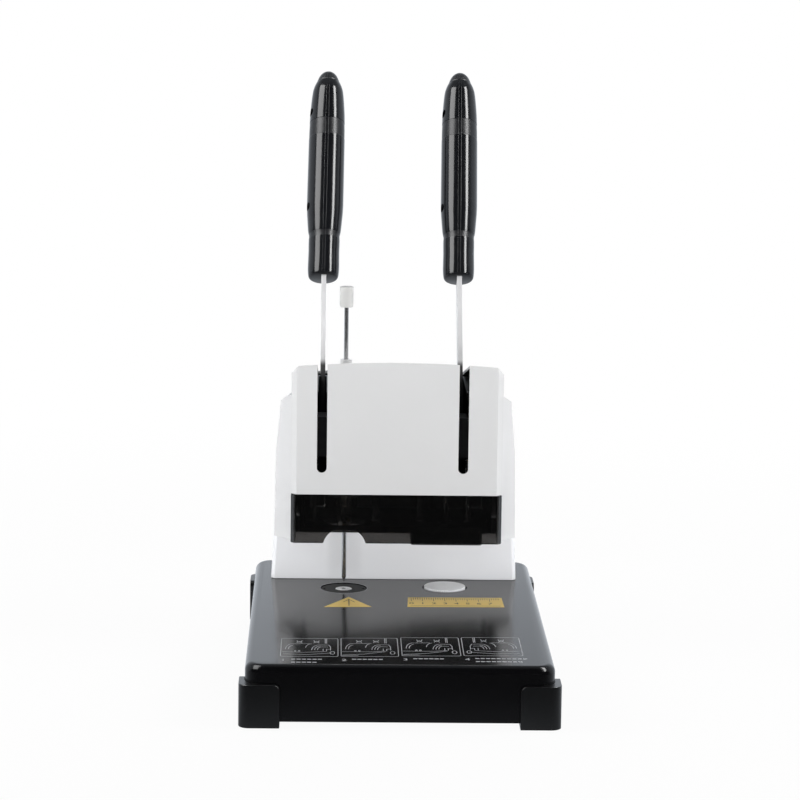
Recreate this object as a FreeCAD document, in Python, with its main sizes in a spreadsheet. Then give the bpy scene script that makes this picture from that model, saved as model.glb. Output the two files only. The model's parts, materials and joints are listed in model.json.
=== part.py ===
import FreeCAD, Part
import Sketcher
import math
import os
import re
from FreeCAD import Placement, Rotation, Vector

# Document riveting machine: a hot press lever on the left closes plastic rivet tube, and a
# drill lever on the right bores the hole through a stack of paper.
# Machine coordinates: x to the right, deep behind the base's front edge, up from the base's top.
# Every sub-part is drawn in them, and its Placement carries it into the part's own frame,
# whose origin is on the table below the middle of the machine.

doc = FreeCAD.newDocument("document_riveting_machine")
sizes = doc.addObject("Spreadsheet::Sheet", "sizes")

driving_sizes = {
    # the base, a deep-drawn sheet cover on four corner feet
    "origin_setback": 260.5, "base_wide": 256, "base_deep": 404, "base_top": 52, "base_lift": 4.5,
    "base_corner": 16, "base_edge": 7, "base_wall": 2, "floor_thick": 2.5, "seat_gap": 0.3,
    "foot_stand": 5, "foot_arm": 34, "foot_high": 36.4, "foot_corner": 9, "foot_round": 5,
    "foot_screw_inset": 17, "foot_screw_radius": 2, "foot_head_radius": 4.2, "foot_head_thick": 2.2,
    "foot_head_gap": 0.4,
    # the two work stations in the base's top
    "station_inset": 48.1, "station_deep": 284, "pad_deep": 289,
    "ring_radius": 20.5, "ring_sink": 0.6, "ring_thick": 4.4, "ring_screw_reach": 17.6,
    "ring_screw_radius": 1.2, "insert_radius": 7.5, "die_hole_radius": 2.3, "die_sink": 0.3,
    "pad_radius": 18.75, "pad_rise": 1.5, "pad_thick": 7.5, "pad_recess_radius": 20.25,
    "pad_stub_radius": 4, "pad_stub_long": 8, "seat_rim_radius": 23, "seat_column_radius": 15,
    "seat_floor": 3, "waste_bore_radius": 3, "die_edge": 0.5, "die_groove_half": 0.8,
    "die_groove_deep": 1,
    # the front housing: a moulded cover, open at the bottom
    "housing_front": 240, "housing_deep": 152, "housing_half": 94, "housing_bevel": 5,
    "housing_foot": 95, "housing_rise": 73.5, "housing_crown": 3.5, "housing_corner": 6,
    "housing_fall": 0.2, "housing_wall": 2.5, "slot_wide": 8.8, "slot_drop": 17.9, "slot_end": 380,
    # the rear cover and the skirt of the column
    "cover_foot": 44, "cover_front": 285, "cover_bevel_end": 303,
    "cover_half": 109.8, "cover_waist_half": 108.3, "cover_waist_up": 122,
    "cover_shoulder_half": 104, "cover_shoulder_fall": 6, "cover_crown_half": 96.8,
    "cover_step": 3.6, "cover_side_end": 388, "cover_rear": 400, "cover_rear_half": 97.5,
    "cover_wall": 2.5, "cover_gap": 0.3,
    "skirt_foot_half": 112.5, "skirt_top_half": 110.3, "skirt_front": 320, "skirt_rear": 396,
    "skirt_wall": 2.5, "skirt_screen_foot": 40, "skirt_screen_top": 55.5, "skirt_screen_half": 81.5,
    # the dark visor under the housing
    "visor_foot": 50.7, "visor_rear": 284.5, "visor_bevel": 3, "visor_wall": 2.5,
    "visor_gap": 0.2,
    "notch_top": 62.1, "notch_top_half": 9.8, "notch_foot_half": 18.8, "notch_round": 17,
    "notch_aside": 0.1,
    "tab_wide": 12, "tab_thick": 2, "tab_reach": 11, "tab_inset": 24,
    # the levers
    "lever_deep": 310, "lever_up": 137, "lever_lean": 33.5, "press_lever_aside": 20.8,
    "drill_lever_aside": 13, "bar_thick": 4.5, "bar_wide": 18, "bar_long": 352,
    "hub_radius": 14, "hub_wide": 10.5, "shaft_radius": 5, "shaft_proud": 1, "shaft_play": 0.05,
    "bush_wall": 1.5,
    "grip_start": 152.2, "grip_long": 224.1, "grip_foot_half": 9.8, "grip_foot_long": 4,
    "grip_ankle_half": 11.9, "grip_neck_half": 13.3, "grip_neck_long": 49.6,
    "grip_neck_bow": 0.35, "grip_groove_half": 12.4, "grip_groove_long": 9.8,
    "grip_groove_slope": 2.6, "grip_collar_half": 14, "grip_collar_long": 7.5,
    "grip_body_half": 14.7, "grip_body_bow": 0.6, "grip_shoulder_half": 14.6,
    "grip_dome_long": 31.6, "grip_dome_bow": 0.65, "grip_cap_half": 10.2, "grip_cap_long": 7.9,
    "grip_screw_low": 232, "grip_screw_high": 332.5,
    "grip_screw_radius": 1.9, "grip_head_radius": 3.4, "grip_head_depth": 9,
    "grip_head_thick": 2,
    # rack and pinion drives
    "gear_module": 1.5, "pinion_teeth": 30, "gear_angle": 20, "gear_play": 0.15, "gear_wide": 5,
    "rack_room": 2, "rack_slot_play": 0.02,
    "gear_root": 1.25, "gap_flare": 1.3, "rack_lead": 2.5,
    "press_gear_aside": 11.1, "drill_gear_aside": 16.9, "rack_thick": 11, "rack_tooth_count": 15,
    "carriage_travel": 51.8,
    # carriages and their guide rods
    "carriage_drop": 13, "carriage_tall": 36, "carriage_fore": 16, "carriage_aft": 5,
    "rod_radius": 3, "rod_play": 0.05, "press_rod_reach": 28, "drill_rod_inner": 24,
    "drill_rod_outer": 20, "carriage_rim": 4.5, "carriage_round": 3,
    # press tooling: insulator, heater and upper die on the hollow axis of the needle
    "insulator_radius": 17, "insulator_thick": 10, "insulator_notch": 18,
    "heater_radius": 16, "heater_long": 28,
    "heater_bore": 2.2, "heater_fin_deep": 2, "heater_fin_wide": 2.4, "heater_fins": 4,
    "die_radius": 7, "die_tip_radius": 5, "die_long": 32.5, "die_taper": 14,
    # drill tooling
    "spindle_radius": 5, "spindle_in_chuck": 10, "bearing_radius": 8,
    "bearing_long": 6, "bearing_play": 0.03,
    "chuck_radius": 8, "chuck_long": 32, "chuck_cone": 7, "chuck_nose": 5, "chuck_gap": 0.3,
    "drill_radius": 2.6,
    "drill_bore": 2, "drill_long": 38, "drill_inside": 12, "drill_stopper": 2,
    "pulley_flange_radius": 9.6, "pulley_radius": 8.2, "pulley_lift": 2, "pulley_tall": 8,
    "pulley_rim": 1, "motor_pulley_flange": 6.2, "motor_pulley_radius": 5, "belt_gap": 0.3,
    "belt_thick": 1.2, "belt_wide": 5.4, "motor_aside": 5.9, "motor_gap": 0.8,
    "motor_room": 1.7, "motor_long": 42, "motor_boss_radius": 4, "motor_boss_long": 4,
    "motor_shaft_radius": 1.5, "motor_plate_thick": 4, "motor_plate_near": 12.9,
    "motor_plate_far": 9.6, "motor_plate_rim": 0.5, "motor_plate_edge": 0.3,
    "motor_plate_step": 2, "motor_shaft_deep": 6, "motor_shaft_grip": 5, "pulley_overlap": 1,
    # the frame
    "cheek_inset": 12, "cheek_thick": 4, "cheek_fore": 20, "cheek_rear": 386,
    "cheek_leg_front": 325, "cheek_front_rise": 61, "cheek_rear_rise": 37, "cheek_flange": 12,
    "cheek_flange_front": 330, "cheek_flange_long": 24, "cheek_flange_thick": 4,
    "top_plate_setback": 2,
    "back_deep": 356, "back_thick": 4, "back_window_half": 34, "back_window_low": 30,
    "back_window_high": 96, "top_plate_rise": 42, "top_plate_thick": 4, "guide_plate_up": 56,
    "guide_plate_thick": 6, "guide_plate_fore": 22, "guide_plate_rear": 345,
    "heater_hole_radius": 19, "drill_hole_radius": 9, "guard_thick": 11, "guard_half_wide": 32,
    "guard_half_deep": 22, "comb_wide": 7, "comb_end": 354, "window_long": 15, "bracket_thick": 4,
    "bracket_round": 10, "bracket_root_drop": 25, "bracket_root_rise": 21,
    "press_bracket_aside": 1.9, "drill_bracket_aside": 23.9, "spring_wall": 1.1, "spring_play": 0.5,
    "frame_bolt_radius": 3, "frame_head_radius": 4.8, "frame_head_thick": 3.6,
    "frame_bolt_long": 10, "pillar_radius": 5, "pillar_side": 60, "pillar_low": 70,
    "pillar_rise": 13, "cover_screw_radius": 2, "cover_screw_long": 14, "cover_head_radius": 3.6,
    "cover_head_thick": 1.6,
    # the guide needle
    "needle_radius": 2, "needle_tip": 5.6, "needle_cone": 5, "needle_in_knob": 10.7,
    "needle_play": 0.06, "knob_lift": 47.3, "knob_tall": 18.4, "knob_radius": 6.1,
    "knob_edge": 0.8, "collar_radius": 5.4, "collar_proud": 8.3, "collar_neck_radius": 3.8,
    "collar_long": 14, "collar_lip": 2,
    # electrical parts inside the base
    "transformer_inset": 68, "transformer_deep": 90, "transformer_wide": 56,
    "transformer_tall": 34, "transformer_stack": 26, "winding_wide": 34, "winding_deep": 46,
    "winding_tall": 24, "board_side": 52, "board_deep": 95, "board_wide": 70, "board_long": 90,
    "board_thick": 1.6, "standoff_tall": 6, "standoff_radius": 3, "standoff_inset": 6,
    "relay_wide": 15, "relay_long": 19, "relay_tall": 15, "capacitor_radius": 6,
    "capacitor_tall": 16, "inlet_side": -50, "inlet_up": 25.5, "inlet_flange_wide": 54,
    "inlet_flange_tall": 31, "inlet_flange_thick": 2.5, "inlet_body_wide": 48,
    "inlet_body_tall": 25, "inlet_body_deep": 25, "socket_wide": 25, "socket_tall": 19,
    "socket_deep": 17, "socket_side": -61, "pin_radius": 1.6, "pin_spread": 7, "pin_drop": 4,
    "rocker_side": -35, "rocker_wide": 13.4, "rocker_half_tall": 9.3, "rocker_gap": 0.4,
    "rocker_deep": 400, "rocker_crown": 6.2, "rocker_shoulder": 4.2, "rocker_root": 4,
    "rocker_axle_radius": 1, "rocker_axle_reach": 1.5, "rocker_end_gap": 1.2, "rocker_tilt": 9,
    "rocker_well_deep": 7, "rocker_lip": 1, "inlet_floor": 2,
    # how far a cutting tool passes the faces that it cuts, and the room round what only passes through
    "tool_overrun": 5, "pass_room": 1,
}
# sizes that follow others: the stations stand inside the housing, and their drives and frame round them
derived_sizes = {
    "press_axis": "station_inset - housing_half", "drill_axis": "housing_half - station_inset",
    "press_lever_side": "press_axis - press_lever_aside",
    "drill_lever_side": "drill_axis + drill_lever_aside",
    "press_gear_side": "press_axis - press_gear_aside",
    "drill_gear_side": "drill_axis - drill_gear_aside",
    "press_bracket_side": "press_axis + press_bracket_aside",
    "drill_bracket_side": "drill_axis - drill_bracket_aside",
    "motor_side": "drill_axis - motor_aside",
    "motor_plate_inner": "drill_axis - motor_plate_near",
    "motor_plate_outer": "drill_axis + motor_plate_far",
    "notch_middle": "press_axis - notch_aside", "tab_side": "housing_half - tab_inset",
    "cheek_inner": "housing_half - cheek_inset", "cheek_front": "station_deep - cheek_fore",
    "guide_plate_front": "station_deep - guide_plate_fore",
    "cover_front_half": "housing_half + cover_gap",
    "housing_edge": "lever_up + housing_rise", "housing_rear": "housing_front + housing_deep",
    "slot_foot": "lever_up - slot_drop", "top_plate_up": "lever_up + top_plate_rise",
    "cheek_front_top": "lever_up + cheek_front_rise",
    "cheek_rear_top": "lever_up + cheek_rear_rise", "pillar_high": "lever_up + pillar_rise",
    "bracket_root_low": "lever_up - bracket_root_drop",
    "bracket_root_high": "lever_up + bracket_root_rise",
    "cover_back_top": "housing_edge - housing_fall * housing_deep - cover_step",
    "cover_shoulder_up": "cover_back_top - cover_shoulder_fall",
    "pitch_radius": "gear_module * pinion_teeth / 2", "tooth_pitch": "gear_module * pi",
    "rack_line": "lever_deep - pitch_radius", "rack_tip": "rack_line + gear_module",
    "rack_back": "rack_tip - rack_thick",
    "carriage_foot": "lever_up - carriage_drop", "carriage_top": "carriage_foot + carriage_tall",
    "carriage_front": "station_deep - carriage_fore", "carriage_rear": "rack_tip + carriage_aft",
    "motor_radius": "(carriage_front - motor_gap - motor_room - housing_front - housing_wall) / 2",
    "motor_deep": "carriage_front - motor_gap - motor_radius",
    "motor_plate_half": "motor_radius + motor_plate_rim",
    "motor_plate_front": "motor_deep - motor_plate_half + motor_plate_edge",
    "motor_plate_top": "carriage_top + motor_plate_thick",
    "pulley_foot": "motor_plate_top + pulley_lift", "pulley_top": "pulley_foot + pulley_tall",
    "collar_top": "housing_edge - housing_fall * (station_deep - housing_front) + collar_proud",
    "collar_neck_foot": "collar_top - collar_long",
    "knob_foot": "collar_top + knob_lift", "knob_top": "knob_foot + knob_tall",
    "needle_top": "knob_foot + needle_in_knob",
    "transformer_side": "transformer_inset - base_wide / 2",
    "bush_radius": "shaft_radius + shaft_play + bush_wall",
    "plate_top": "base_lift + floor_thick - base_top", "board_foot": "plate_top + standoff_tall",
}
for row, (alias, number) in enumerate(driving_sizes.items(), start=1):
    sizes.set("A%d" % row, alias)
    sizes.set("B%d" % row, str(number))
    sizes.setAlias("B%d" % row, alias)
doc.recompute()

nodes = {}     # label of each sub-part: its object
case_screws = []
stands = {}    # where each object stands in machine coordinates
upright = Rotation()
toward = {"x": Rotation(Vector(0, 1, 0), 90), "deep": Rotation(Vector(1, 0, 0), -90), "up": upright}
planes = {"plan": upright, "front": Rotation(Vector(1, 0, 0), 90),
          "side": Rotation(Vector(1, 1, 1), 120)}
sweeps = {"plan": Vector(0, 0, 1), "front": Vector(0, 1, 0), "side": Vector(1, 0, 0)}
same_place = 0.01    # two points this near are taken as one
bevel_share = 0.586  # a 45 degree bevel shrinks by this share of the wall, which keeps the wall even


# ---------------------------------------------------------------- helpers

def formula(text):
    """Every size's name holds an underscore: a derived one is written out, others read the sheet."""
    def link(found):
        name = found.group(0)
        if name in derived_sizes:
            return "(%s)" % formula(derived_sizes[name])
        return "sizes." + name
    return re.sub(r"[a-z]+(?:_[a-z0-9]+)+", link, str(text))


def value(text):
    return float(sizes.evalExpression(formula(text)))


def bind(thing, **links):
    for name, text in links.items():
        thing.setExpression(name, formula(text))
    return thing


def stand(thing, x="0", deep="0", up="0", turn=upright):
    """Places an object in machine coordinates."""
    thing.Placement = Placement(Vector(), turn)
    stands[thing.Name] = (x, deep, up)
    for axis, text in zip("xyz", (x, deep, up)):
        thing.setExpression("Placement.Base." + axis, formula(text))
    return thing


def box(x, deep, up):
    """A block between two values along each axis."""
    thing = doc.addObject("Part::Box", "block")
    bind(thing, Length="(%s) - (%s)" % (x[1], x[0]), Width="(%s) - (%s)" % (deep[1], deep[0]),
         Height="(%s) - (%s)" % (up[1], up[0]))
    return stand(thing, x[0], deep[0], up[0])


def centred_box(middle, half, up):
    """A block about a point of the plan, from its two half sizes."""
    spans = [("%s - (%s)" % (at, reach), "%s + (%s)" % (at, reach))
             for at, reach in zip(middle, half)]
    return box(spans[0], spans[1], up)


def cylinder(axis, radius, at, span):
    """A round along an axis: at holds the other two coordinates and span its two ends."""
    thing = doc.addObject("Part::Cylinder", "round")
    bind(thing, Radius=radius, Height="(%s) - (%s)" % (span[1], span[0]))
    where = {"x": (span[0], at[0], at[1]), "deep": (at[0], span[0], at[1]),
             "up": (at[0], at[1], span[0])}
    return stand(thing, *where[axis], turn=toward[axis])


def cone(low_radius, high_radius, at, span):
    thing = doc.addObject("Part::Cone", "taper")
    bind(thing, Radius1=low_radius, Radius2=high_radius, Height="(%s) - (%s)" % (span[1], span[0]))
    return stand(thing, at[0], at[1], span[0])


def outline(plane, corners, arcs=(), at="0"):
    """A closed sketch. Each corner is a pair of formulas, and arcs are (line, radius, side point)."""
    sketch = doc.addObject("Sketcher::SketchObject", "outline")
    points = [Vector(value(a), value(b), 0) for a, b in corners]
    rounds = {line: (radius, side) for line, radius, side in arcs}
    count = len(points)
    for line in range(count):
        start, end = points[line], points[(line + 1) % count]
        if line in rounds:
            side = Vector(value(rounds[line][1][0]), value(rounds[line][1][1]), 0)
            sketch.addGeometry(Part.Arc(start, side, end))
        else:
            sketch.addGeometry(Part.LineSegment(start, end))
    ends = []
    for line in range(count):
        curve = sketch.Geometry[line]
        gaps = [end.distanceToPoint(points[line]) for end in (curve.StartPoint, curve.EndPoint)]
        ends.append((1, 2) if gaps[0] < gaps[1] else (2, 1))
    for line in range(count):
        after = (line + 1) % count
        meet = Sketcher.Constraint("Coincident", line, ends[line][1], after, ends[after][0])
        sketch.addConstraint(meet)
        for kind, text in zip(("DistanceX", "DistanceY"), corners[line]):
            number = sketch.addConstraint(
                Sketcher.Constraint(kind, -1, 1, line, ends[line][0], value(text)))
            sketch.setExpression("Constraints[%d]" % number, formula(text))
        if line in rounds:
            radius = rounds[line][0]
            number = sketch.addConstraint(Sketcher.Constraint("Radius", line, value(radius)))
            sketch.setExpression("Constraints[%d]" % number, formula(radius))
    where = {"plan": ("0", "0", at), "front": ("0", at, "0"), "side": (at, "0", "0")}[plane]
    return stand(sketch, *where, turn=planes[plane])


def prism(plane, corners, span, arcs=(), fall="0"):
    """An outline carried from one value to another; fall lowers it as it goes back."""
    thing = doc.addObject("Part::Extrusion", "prism")
    thing.Base = outline(plane, corners, arcs, span[0])
    thing.DirMode = "Custom"
    thing.Dir = sweeps[plane]
    thing.Solid = True
    if fall != "0":
        thing.setExpression("Dir.z", formula("-(%s)" % fall))
    bind(thing, LengthFwd="((%s) - (%s)) * sqrt(1 + (%s) ^ 2)" % (span[1], span[0], fall))
    stands[thing.Name] = ("0", "0", "0")
    return thing


def loft(*sketches):
    thing = doc.addObject("Part::Loft", "loft")
    thing.Sections = list(sketches)
    thing.Solid = True
    thing.Ruled = True
    return thing


def revolved(corners, arcs=()):
    """An outline of radius and height, turned about the upright axis through the origin."""
    thing = doc.addObject("Part::Revolution", "turned")
    thing.Source = outline("front", corners, arcs)
    thing.Axis = Vector(0, 0, 1)
    thing.Angle = 360
    thing.Solid = True
    return thing


def rounded(thing, radius, wanted):
    """Rounds the edges that wanted picks, each given as its middle point and direction."""
    doc.recompute()
    size = value(radius)
    chosen = []
    for number, edge in enumerate(thing.Shape.Edges, start=1):
        middle = edge.valueAt((edge.FirstParameter + edge.LastParameter) / 2)
        along = edge.tangentAt((edge.FirstParameter + edge.LastParameter) / 2)
        if wanted(middle, along):
            chosen.append((number, size, size))
    soft = doc.addObject("Part::Fillet", "rounded")
    soft.Base = thing
    soft.Edges = chosen
    return soft


def cut(thing, *tools):
    for tool in tools:
        left = doc.addObject("Part::Cut", "cut")
        left.Base, left.Tool = thing, tool
        thing = left
    return thing


def fuse(*parts):
    whole = doc.addObject("Part::MultiFuse", "joined")
    whole.Shapes = list(parts)
    return whole


def common(*parts):
    shared = doc.addObject("Part::MultiCommon", "shared")
    shared.Shapes = list(parts)
    return shared


def group(*parts):
    several = doc.addObject("Part::Compound", "set")
    several.Links = list(parts)
    return several


def node(label, thing, tilt=None):
    """Names a sub-part and binds its Placement in the part's frame."""
    x, deep, up = stands.get(thing.Name, ("0", "0", "0"))
    thing.Label = label
    if tilt:
        thing.Placement = Placement(Vector(), Rotation(Vector(-1, 0, 0), value(tilt)))
        thing.setExpression("Placement.Rotation.Angle", formula(tilt))
    thing.setExpression("Placement.Base.x", formula(x))
    thing.setExpression("Placement.Base.y", formula("(%s) - origin_setback" % deep))
    thing.setExpression("Placement.Base.z", formula("(%s) + base_top" % up))
    nodes[label] = thing
    return thing


def tilted(label, thing, side):
    """A sub-part of a lever, drawn along the bar from the pivot, and leaned back about it."""
    stands[thing.Name] = (side, "lever_deep", "lever_up")
    return node(label, thing, tilt="lever_lean")


def between(middle, thick):
    return ("%s - (%s) / 2" % (middle, thick), "%s + (%s) / 2" % (middle, thick))


def mirrored_outline(half_points):
    """Completes an outline that is the same on both sides of the middle plane."""
    left = [("-(%s)" % x, y) for x, y in reversed(half_points)]
    return half_points + left


# ---------------------------------------------------------------- base

underside = "base_lift - base_top"
through_up = ("-base_top", "knob_foot")
table = "-base_top"
through_base = ("-base_top", "tool_overrun")
through_sheet = ("-base_wall - tool_overrun", "tool_overrun")


def rounded_block(inset, corner, edge, low, high):
    """A block of the base's plan, rounded at its four corners and along its top edge."""
    raw = box(("-base_wide / 2 + (%s)" % inset, "base_wide / 2 - (%s)" % inset),
              (inset, "base_deep - (%s)" % inset), (low, high))
    soft = rounded(raw, corner, lambda middle, along: abs(along.z) > 0.9)
    top = value(high)
    return rounded(soft, edge, lambda middle, along: abs(middle.z - top) < same_place) if edge else soft


base_blank = rounded_block("0", "base_corner", "base_edge", underside, "0")
base_hollow = rounded_block("base_wall", "base_corner - base_wall", "base_edge - base_wall",
                            "-base_top", "-base_wall")


def frame_bolt_places():
    side = "cheek_inner - cheek_flange / 2"
    for sign in ("-", ""):
        for step in ("1", "3"):
            yield sign + "(%s)" % side, "cheek_flange_front + cheek_flange_long * %s / 4" % step


def make_base():
    sheet_holes = [
        cylinder("up", "ring_radius + seat_gap * 2", ("press_axis", "station_deep"), through_base),
        cylinder("up", "pad_recess_radius", ("drill_axis", "pad_deep"), through_base),
        box(between("inlet_side", "inlet_body_wide + seat_gap"),
            ("base_deep - base_wall * 2", "base_deep + base_wall"),
            between("inlet_up - base_top", "inlet_body_tall + seat_gap")),
    ]
    for x, deep in frame_bolt_places():
        sheet_holes.append(cylinder("up", "frame_bolt_radius", (x, deep), through_sheet))
    node("base_shell", cut(base_blank, base_hollow, *sheet_holes))
    plate_side = "base_wall + seat_gap"
    plate = rounded_block(plate_side, "base_corner - base_wall - seat_gap", None, underside, "plate_top")
    screws = [cylinder("up", "foot_screw_radius", at, (table, "0")) for at in foot_screw_places()]
    legs = [cylinder("up", "standoff_radius", at, ("plate_top", "board_foot")) for at in standoff_places()]
    node("base_plate", fuse(cut(plate, *screws), *legs))


def standoff_places():
    for x in ("-", "+"):
        for deep in ("-", "+"):
            yield ("board_side %s (board_wide / 2 - standoff_inset)" % x,
                   "board_deep %s (board_long / 2 - standoff_inset)" % deep)


def foot_screw_places():
    for x_sign in ("-", ""):
        for deep in ("foot_screw_inset - foot_stand", "base_deep + foot_stand - foot_screw_inset"):
            yield x_sign + "(base_wide / 2 + foot_stand - foot_screw_inset)", deep


def make_feet():
    """Guards that clasp the base's corners, each with a ledge below the base and a screw up into it."""
    corner_x = "base_wide / 2 + foot_stand"
    inner_x, inner_deep = "%s - foot_arm" % corner_x, "foot_arm - foot_stand"
    corner = [(inner_x, "-foot_stand"), (corner_x, "-foot_stand"), (corner_x, inner_deep),
              (inner_x, inner_deep)]
    top = "foot_high - base_top"
    middle_deep = value("base_deep") / 2

    def lies_at(place, x, deep):
        inward = middle_deep - abs(place.y - middle_deep)
        return (abs(abs(place.x) - value(x)) < same_place, abs(inward - value(deep)) < same_place)

    def outer_corner(middle, along):
        return abs(along.z) > 0.9 and all(lies_at(middle, corner_x, "-foot_stand"))

    def upper_inner(middle, along):
        return abs(middle.z - value(top)) < same_place and any(lies_at(middle, inner_x, inner_deep))

    head_span = ("foot_head_gap - base_top", "foot_head_thick + foot_head_gap - base_top")
    names = [("left", "front"), ("left", "rear"), ("right", "front"), ("right", "rear")]
    for (side, end), at in zip(names, foot_screw_places()):
        points = corner
        if side == "left":
            points = [("-(%s)" % x, deep) for x, deep in points]
        if end == "rear":
            points = [(x, "base_deep - (%s)" % deep) for x, deep in points]
        block = rounded(prism("plan", points, (table, top)), "foot_corner", outer_corner)
        block = rounded(block, "foot_round", upper_inner)
        shank = cylinder("up", "foot_screw_radius", at, (table, "0"))
        recess = cylinder("up", "foot_head_radius", at, (table, head_span[1]))
        node("foot_%s_%s" % (end, side), cut(block, base_blank, shank, recess))
        head = cylinder("up", "foot_head_radius", at, head_span)
        stem = cylinder("up", "foot_screw_radius", at, (head_span[0], "plate_top"))
        case_screws.append(fuse(head, stem))


def make_stations():
    """The lower die on the left and the cutting pad on the right, on seats that reach the floor."""
    die = ("press_axis", "station_deep")
    pad = ("drill_axis", "pad_deep")
    ring_foot = "-ring_sink - ring_thick"
    seat = fuse(cylinder("up", "seat_rim_radius", die, ("%s - seat_floor" % ring_foot, "-base_wall")),
                cylinder("up", "seat_column_radius", die, ("plate_top", ring_foot)))
    seat = cut(seat, cylinder("up", "ring_radius", die, (ring_foot, "0")),
               cylinder("up", "waste_bore_radius", die, (table, "0")))
    seats = [seat]
    ring = cut(cylinder("up", "ring_radius", die, (ring_foot, "-ring_sink")),
               cylinder("up", "insert_radius", die, (table, "0")))
    for side in ("-", "+"):
        at = ("press_axis %s ring_screw_reach" % side, "station_deep")
        ring = cut(ring, cylinder("up", "ring_screw_radius", at, ("-ring_sink - ring_thick / 2", "0")))
    node("lower_die_ring", ring)
    face, foot = "-die_sink", ring_foot
    groove = "(insert_radius + die_hole_radius) / 2"
    profile = [("die_hole_radius", foot), ("insert_radius", foot),
               ("insert_radius", "%s - die_edge" % face), ("insert_radius - die_edge", face),
               ("%s + die_groove_half" % groove, face), (groove, "%s - die_groove_deep" % face),
               ("%s - die_groove_half" % groove, face), ("die_hole_radius", face)]
    node("lower_die_insert", stand(group(revolved(profile)), *die))
    pad_foot = "pad_rise - pad_thick"
    seat_foot = "%s - seat_gap" % pad_foot
    rim_foot = "%s - pad_stub_long - seat_floor" % seat_foot
    seat = fuse(cylinder("up", "seat_rim_radius", pad, (rim_foot, "-base_wall")),
                cylinder("up", "seat_column_radius", pad, ("plate_top", "%s - pad_stub_long" % seat_foot)))
    seat = cut(seat, cylinder("up", "pad_recess_radius", pad, (seat_foot, "0")),
               cylinder("up", "pad_stub_radius + shaft_play", pad,
                        ("%s - pad_stub_long - seat_gap" % pad_foot, "0")))
    node("station_seats", group(*seats, seat))
    disc = cylinder("up", "pad_radius", pad, (pad_foot, "pad_rise"))
    stub = cylinder("up", "pad_stub_radius", pad, ("%s - pad_stub_long" % pad_foot, pad_foot))
    node("cutting_pad", fuse(disc, stub))


# ---------------------------------------------------------------- covers

above_housing = "housing_edge + housing_crown + tool_overrun"


def housing_outline(inset):
    """The front elevation of the housing, with a crowned top edge and cut corners.

    It starts low enough to reach the foot all the way back."""
    half = "housing_half - (%s)" % inset
    edge = "housing_edge - (%s)" % inset
    low = "housing_foot - housing_fall * housing_deep"
    cut_back = "housing_corner - (%s) * %s" % (inset, bevel_share)
    points = [("-(%s)" % half, low), (half, low), (half, "%s - (%s)" % (edge, cut_back)),
              ("%s - (%s)" % (half, cut_back), edge), ("-(%s - (%s))" % (half, cut_back), edge),
              ("-(%s)" % half, "%s - (%s)" % (edge, cut_back))]
    chord = "(%s - (%s))" % (half, cut_back)
    radius = "(%s ^ 2 + housing_crown ^ 2) / (2 * housing_crown)" % chord
    return points, [(3, radius, ("0", "%s + housing_crown" % edge))]


def housing_plan(inset):
    half = "housing_half - (%s)" % inset
    front = "housing_front + (%s)" % inset
    rear = "housing_rear - (%s)" % inset
    bevel = "housing_bevel - (%s) * %s" % (inset, bevel_share)
    right = [(("%s - (%s)") % (half, bevel), front), (half, "%s + (%s)" % (front, bevel)),
             (half, "%s - (%s)" % (rear, bevel)), ("%s - (%s)" % (half, bevel), rear)]
    return mirrored_outline(right)


def housing_form(inset, low, gap="0"):
    """The housing's outer form, or its hollow when inset is the wall."""
    grow = "(%s) - (%s)" % (inset, gap)
    corners, arcs = housing_outline(grow)
    drop = "(%s) * housing_fall" % inset
    corners = [(x, "%s - (%s)" % (up, drop)) for x, up in corners]
    arcs = [(line, radius, (x, "%s - (%s)" % (up, drop))) for line, radius, (x, up) in arcs]
    span = ("housing_front + (%s)" % inset, "housing_rear + tool_overrun")
    slanted = prism("front", corners, span, arcs, fall="housing_fall")
    return common(slanted, prism("plan", housing_plan(grow), (low, above_housing)))


def lever_slot(side):
    """A slot with a round foot, open through the front and back along the top."""
    front = ("housing_front - tool_overrun", "housing_front + housing_wall + tool_overrun")
    foot = cylinder("deep", "slot_wide / 2", (side, "slot_foot"), front)
    reach = box(between(side, "slot_wide"), front, ("slot_foot", above_housing))
    top = box(between(side, "slot_wide"), (front[0], "slot_end"),
              ("top_plate_up - tool_overrun", above_housing))
    return fuse(foot, reach, top)


def make_housing():
    outer = housing_form("0", "housing_foot")
    inner = housing_form("housing_wall", "housing_foot - tool_overrun")
    needle_hole = cylinder("up", "collar_neck_radius", ("press_axis", "station_deep"),
                           ("top_plate_up", above_housing))
    housing = cut(outer, inner, lever_slot("press_lever_side"), lever_slot("drill_lever_side"),
                  needle_hole)
    for x in ("-pillar_side", "pillar_side"):
        housing = cut(housing, cylinder("deep", "pillar_radius", (x, "pillar_high"),
                                        ("back_deep", "cover_rear")))
    node("front_housing", housing)
    at = ("press_axis", "station_deep")
    top_ring = cut(cylinder("up", "collar_radius", at, ("collar_neck_foot", "collar_top")), outer)
    neck = cylinder("up", "collar_neck_radius", at, ("collar_neck_foot", "collar_top - collar_lip"))
    node("needle_collar", cut(fuse(top_ring, neck),
                              cylinder("up", "needle_radius + needle_play", at, through_up)))


# shares of the wall by which the corners of the rear cover's hollow lie further in
cover_share = {"rear": 0.4, "side": 0.96, "shoulder": 0.5, "crown": 0.36}


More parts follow.
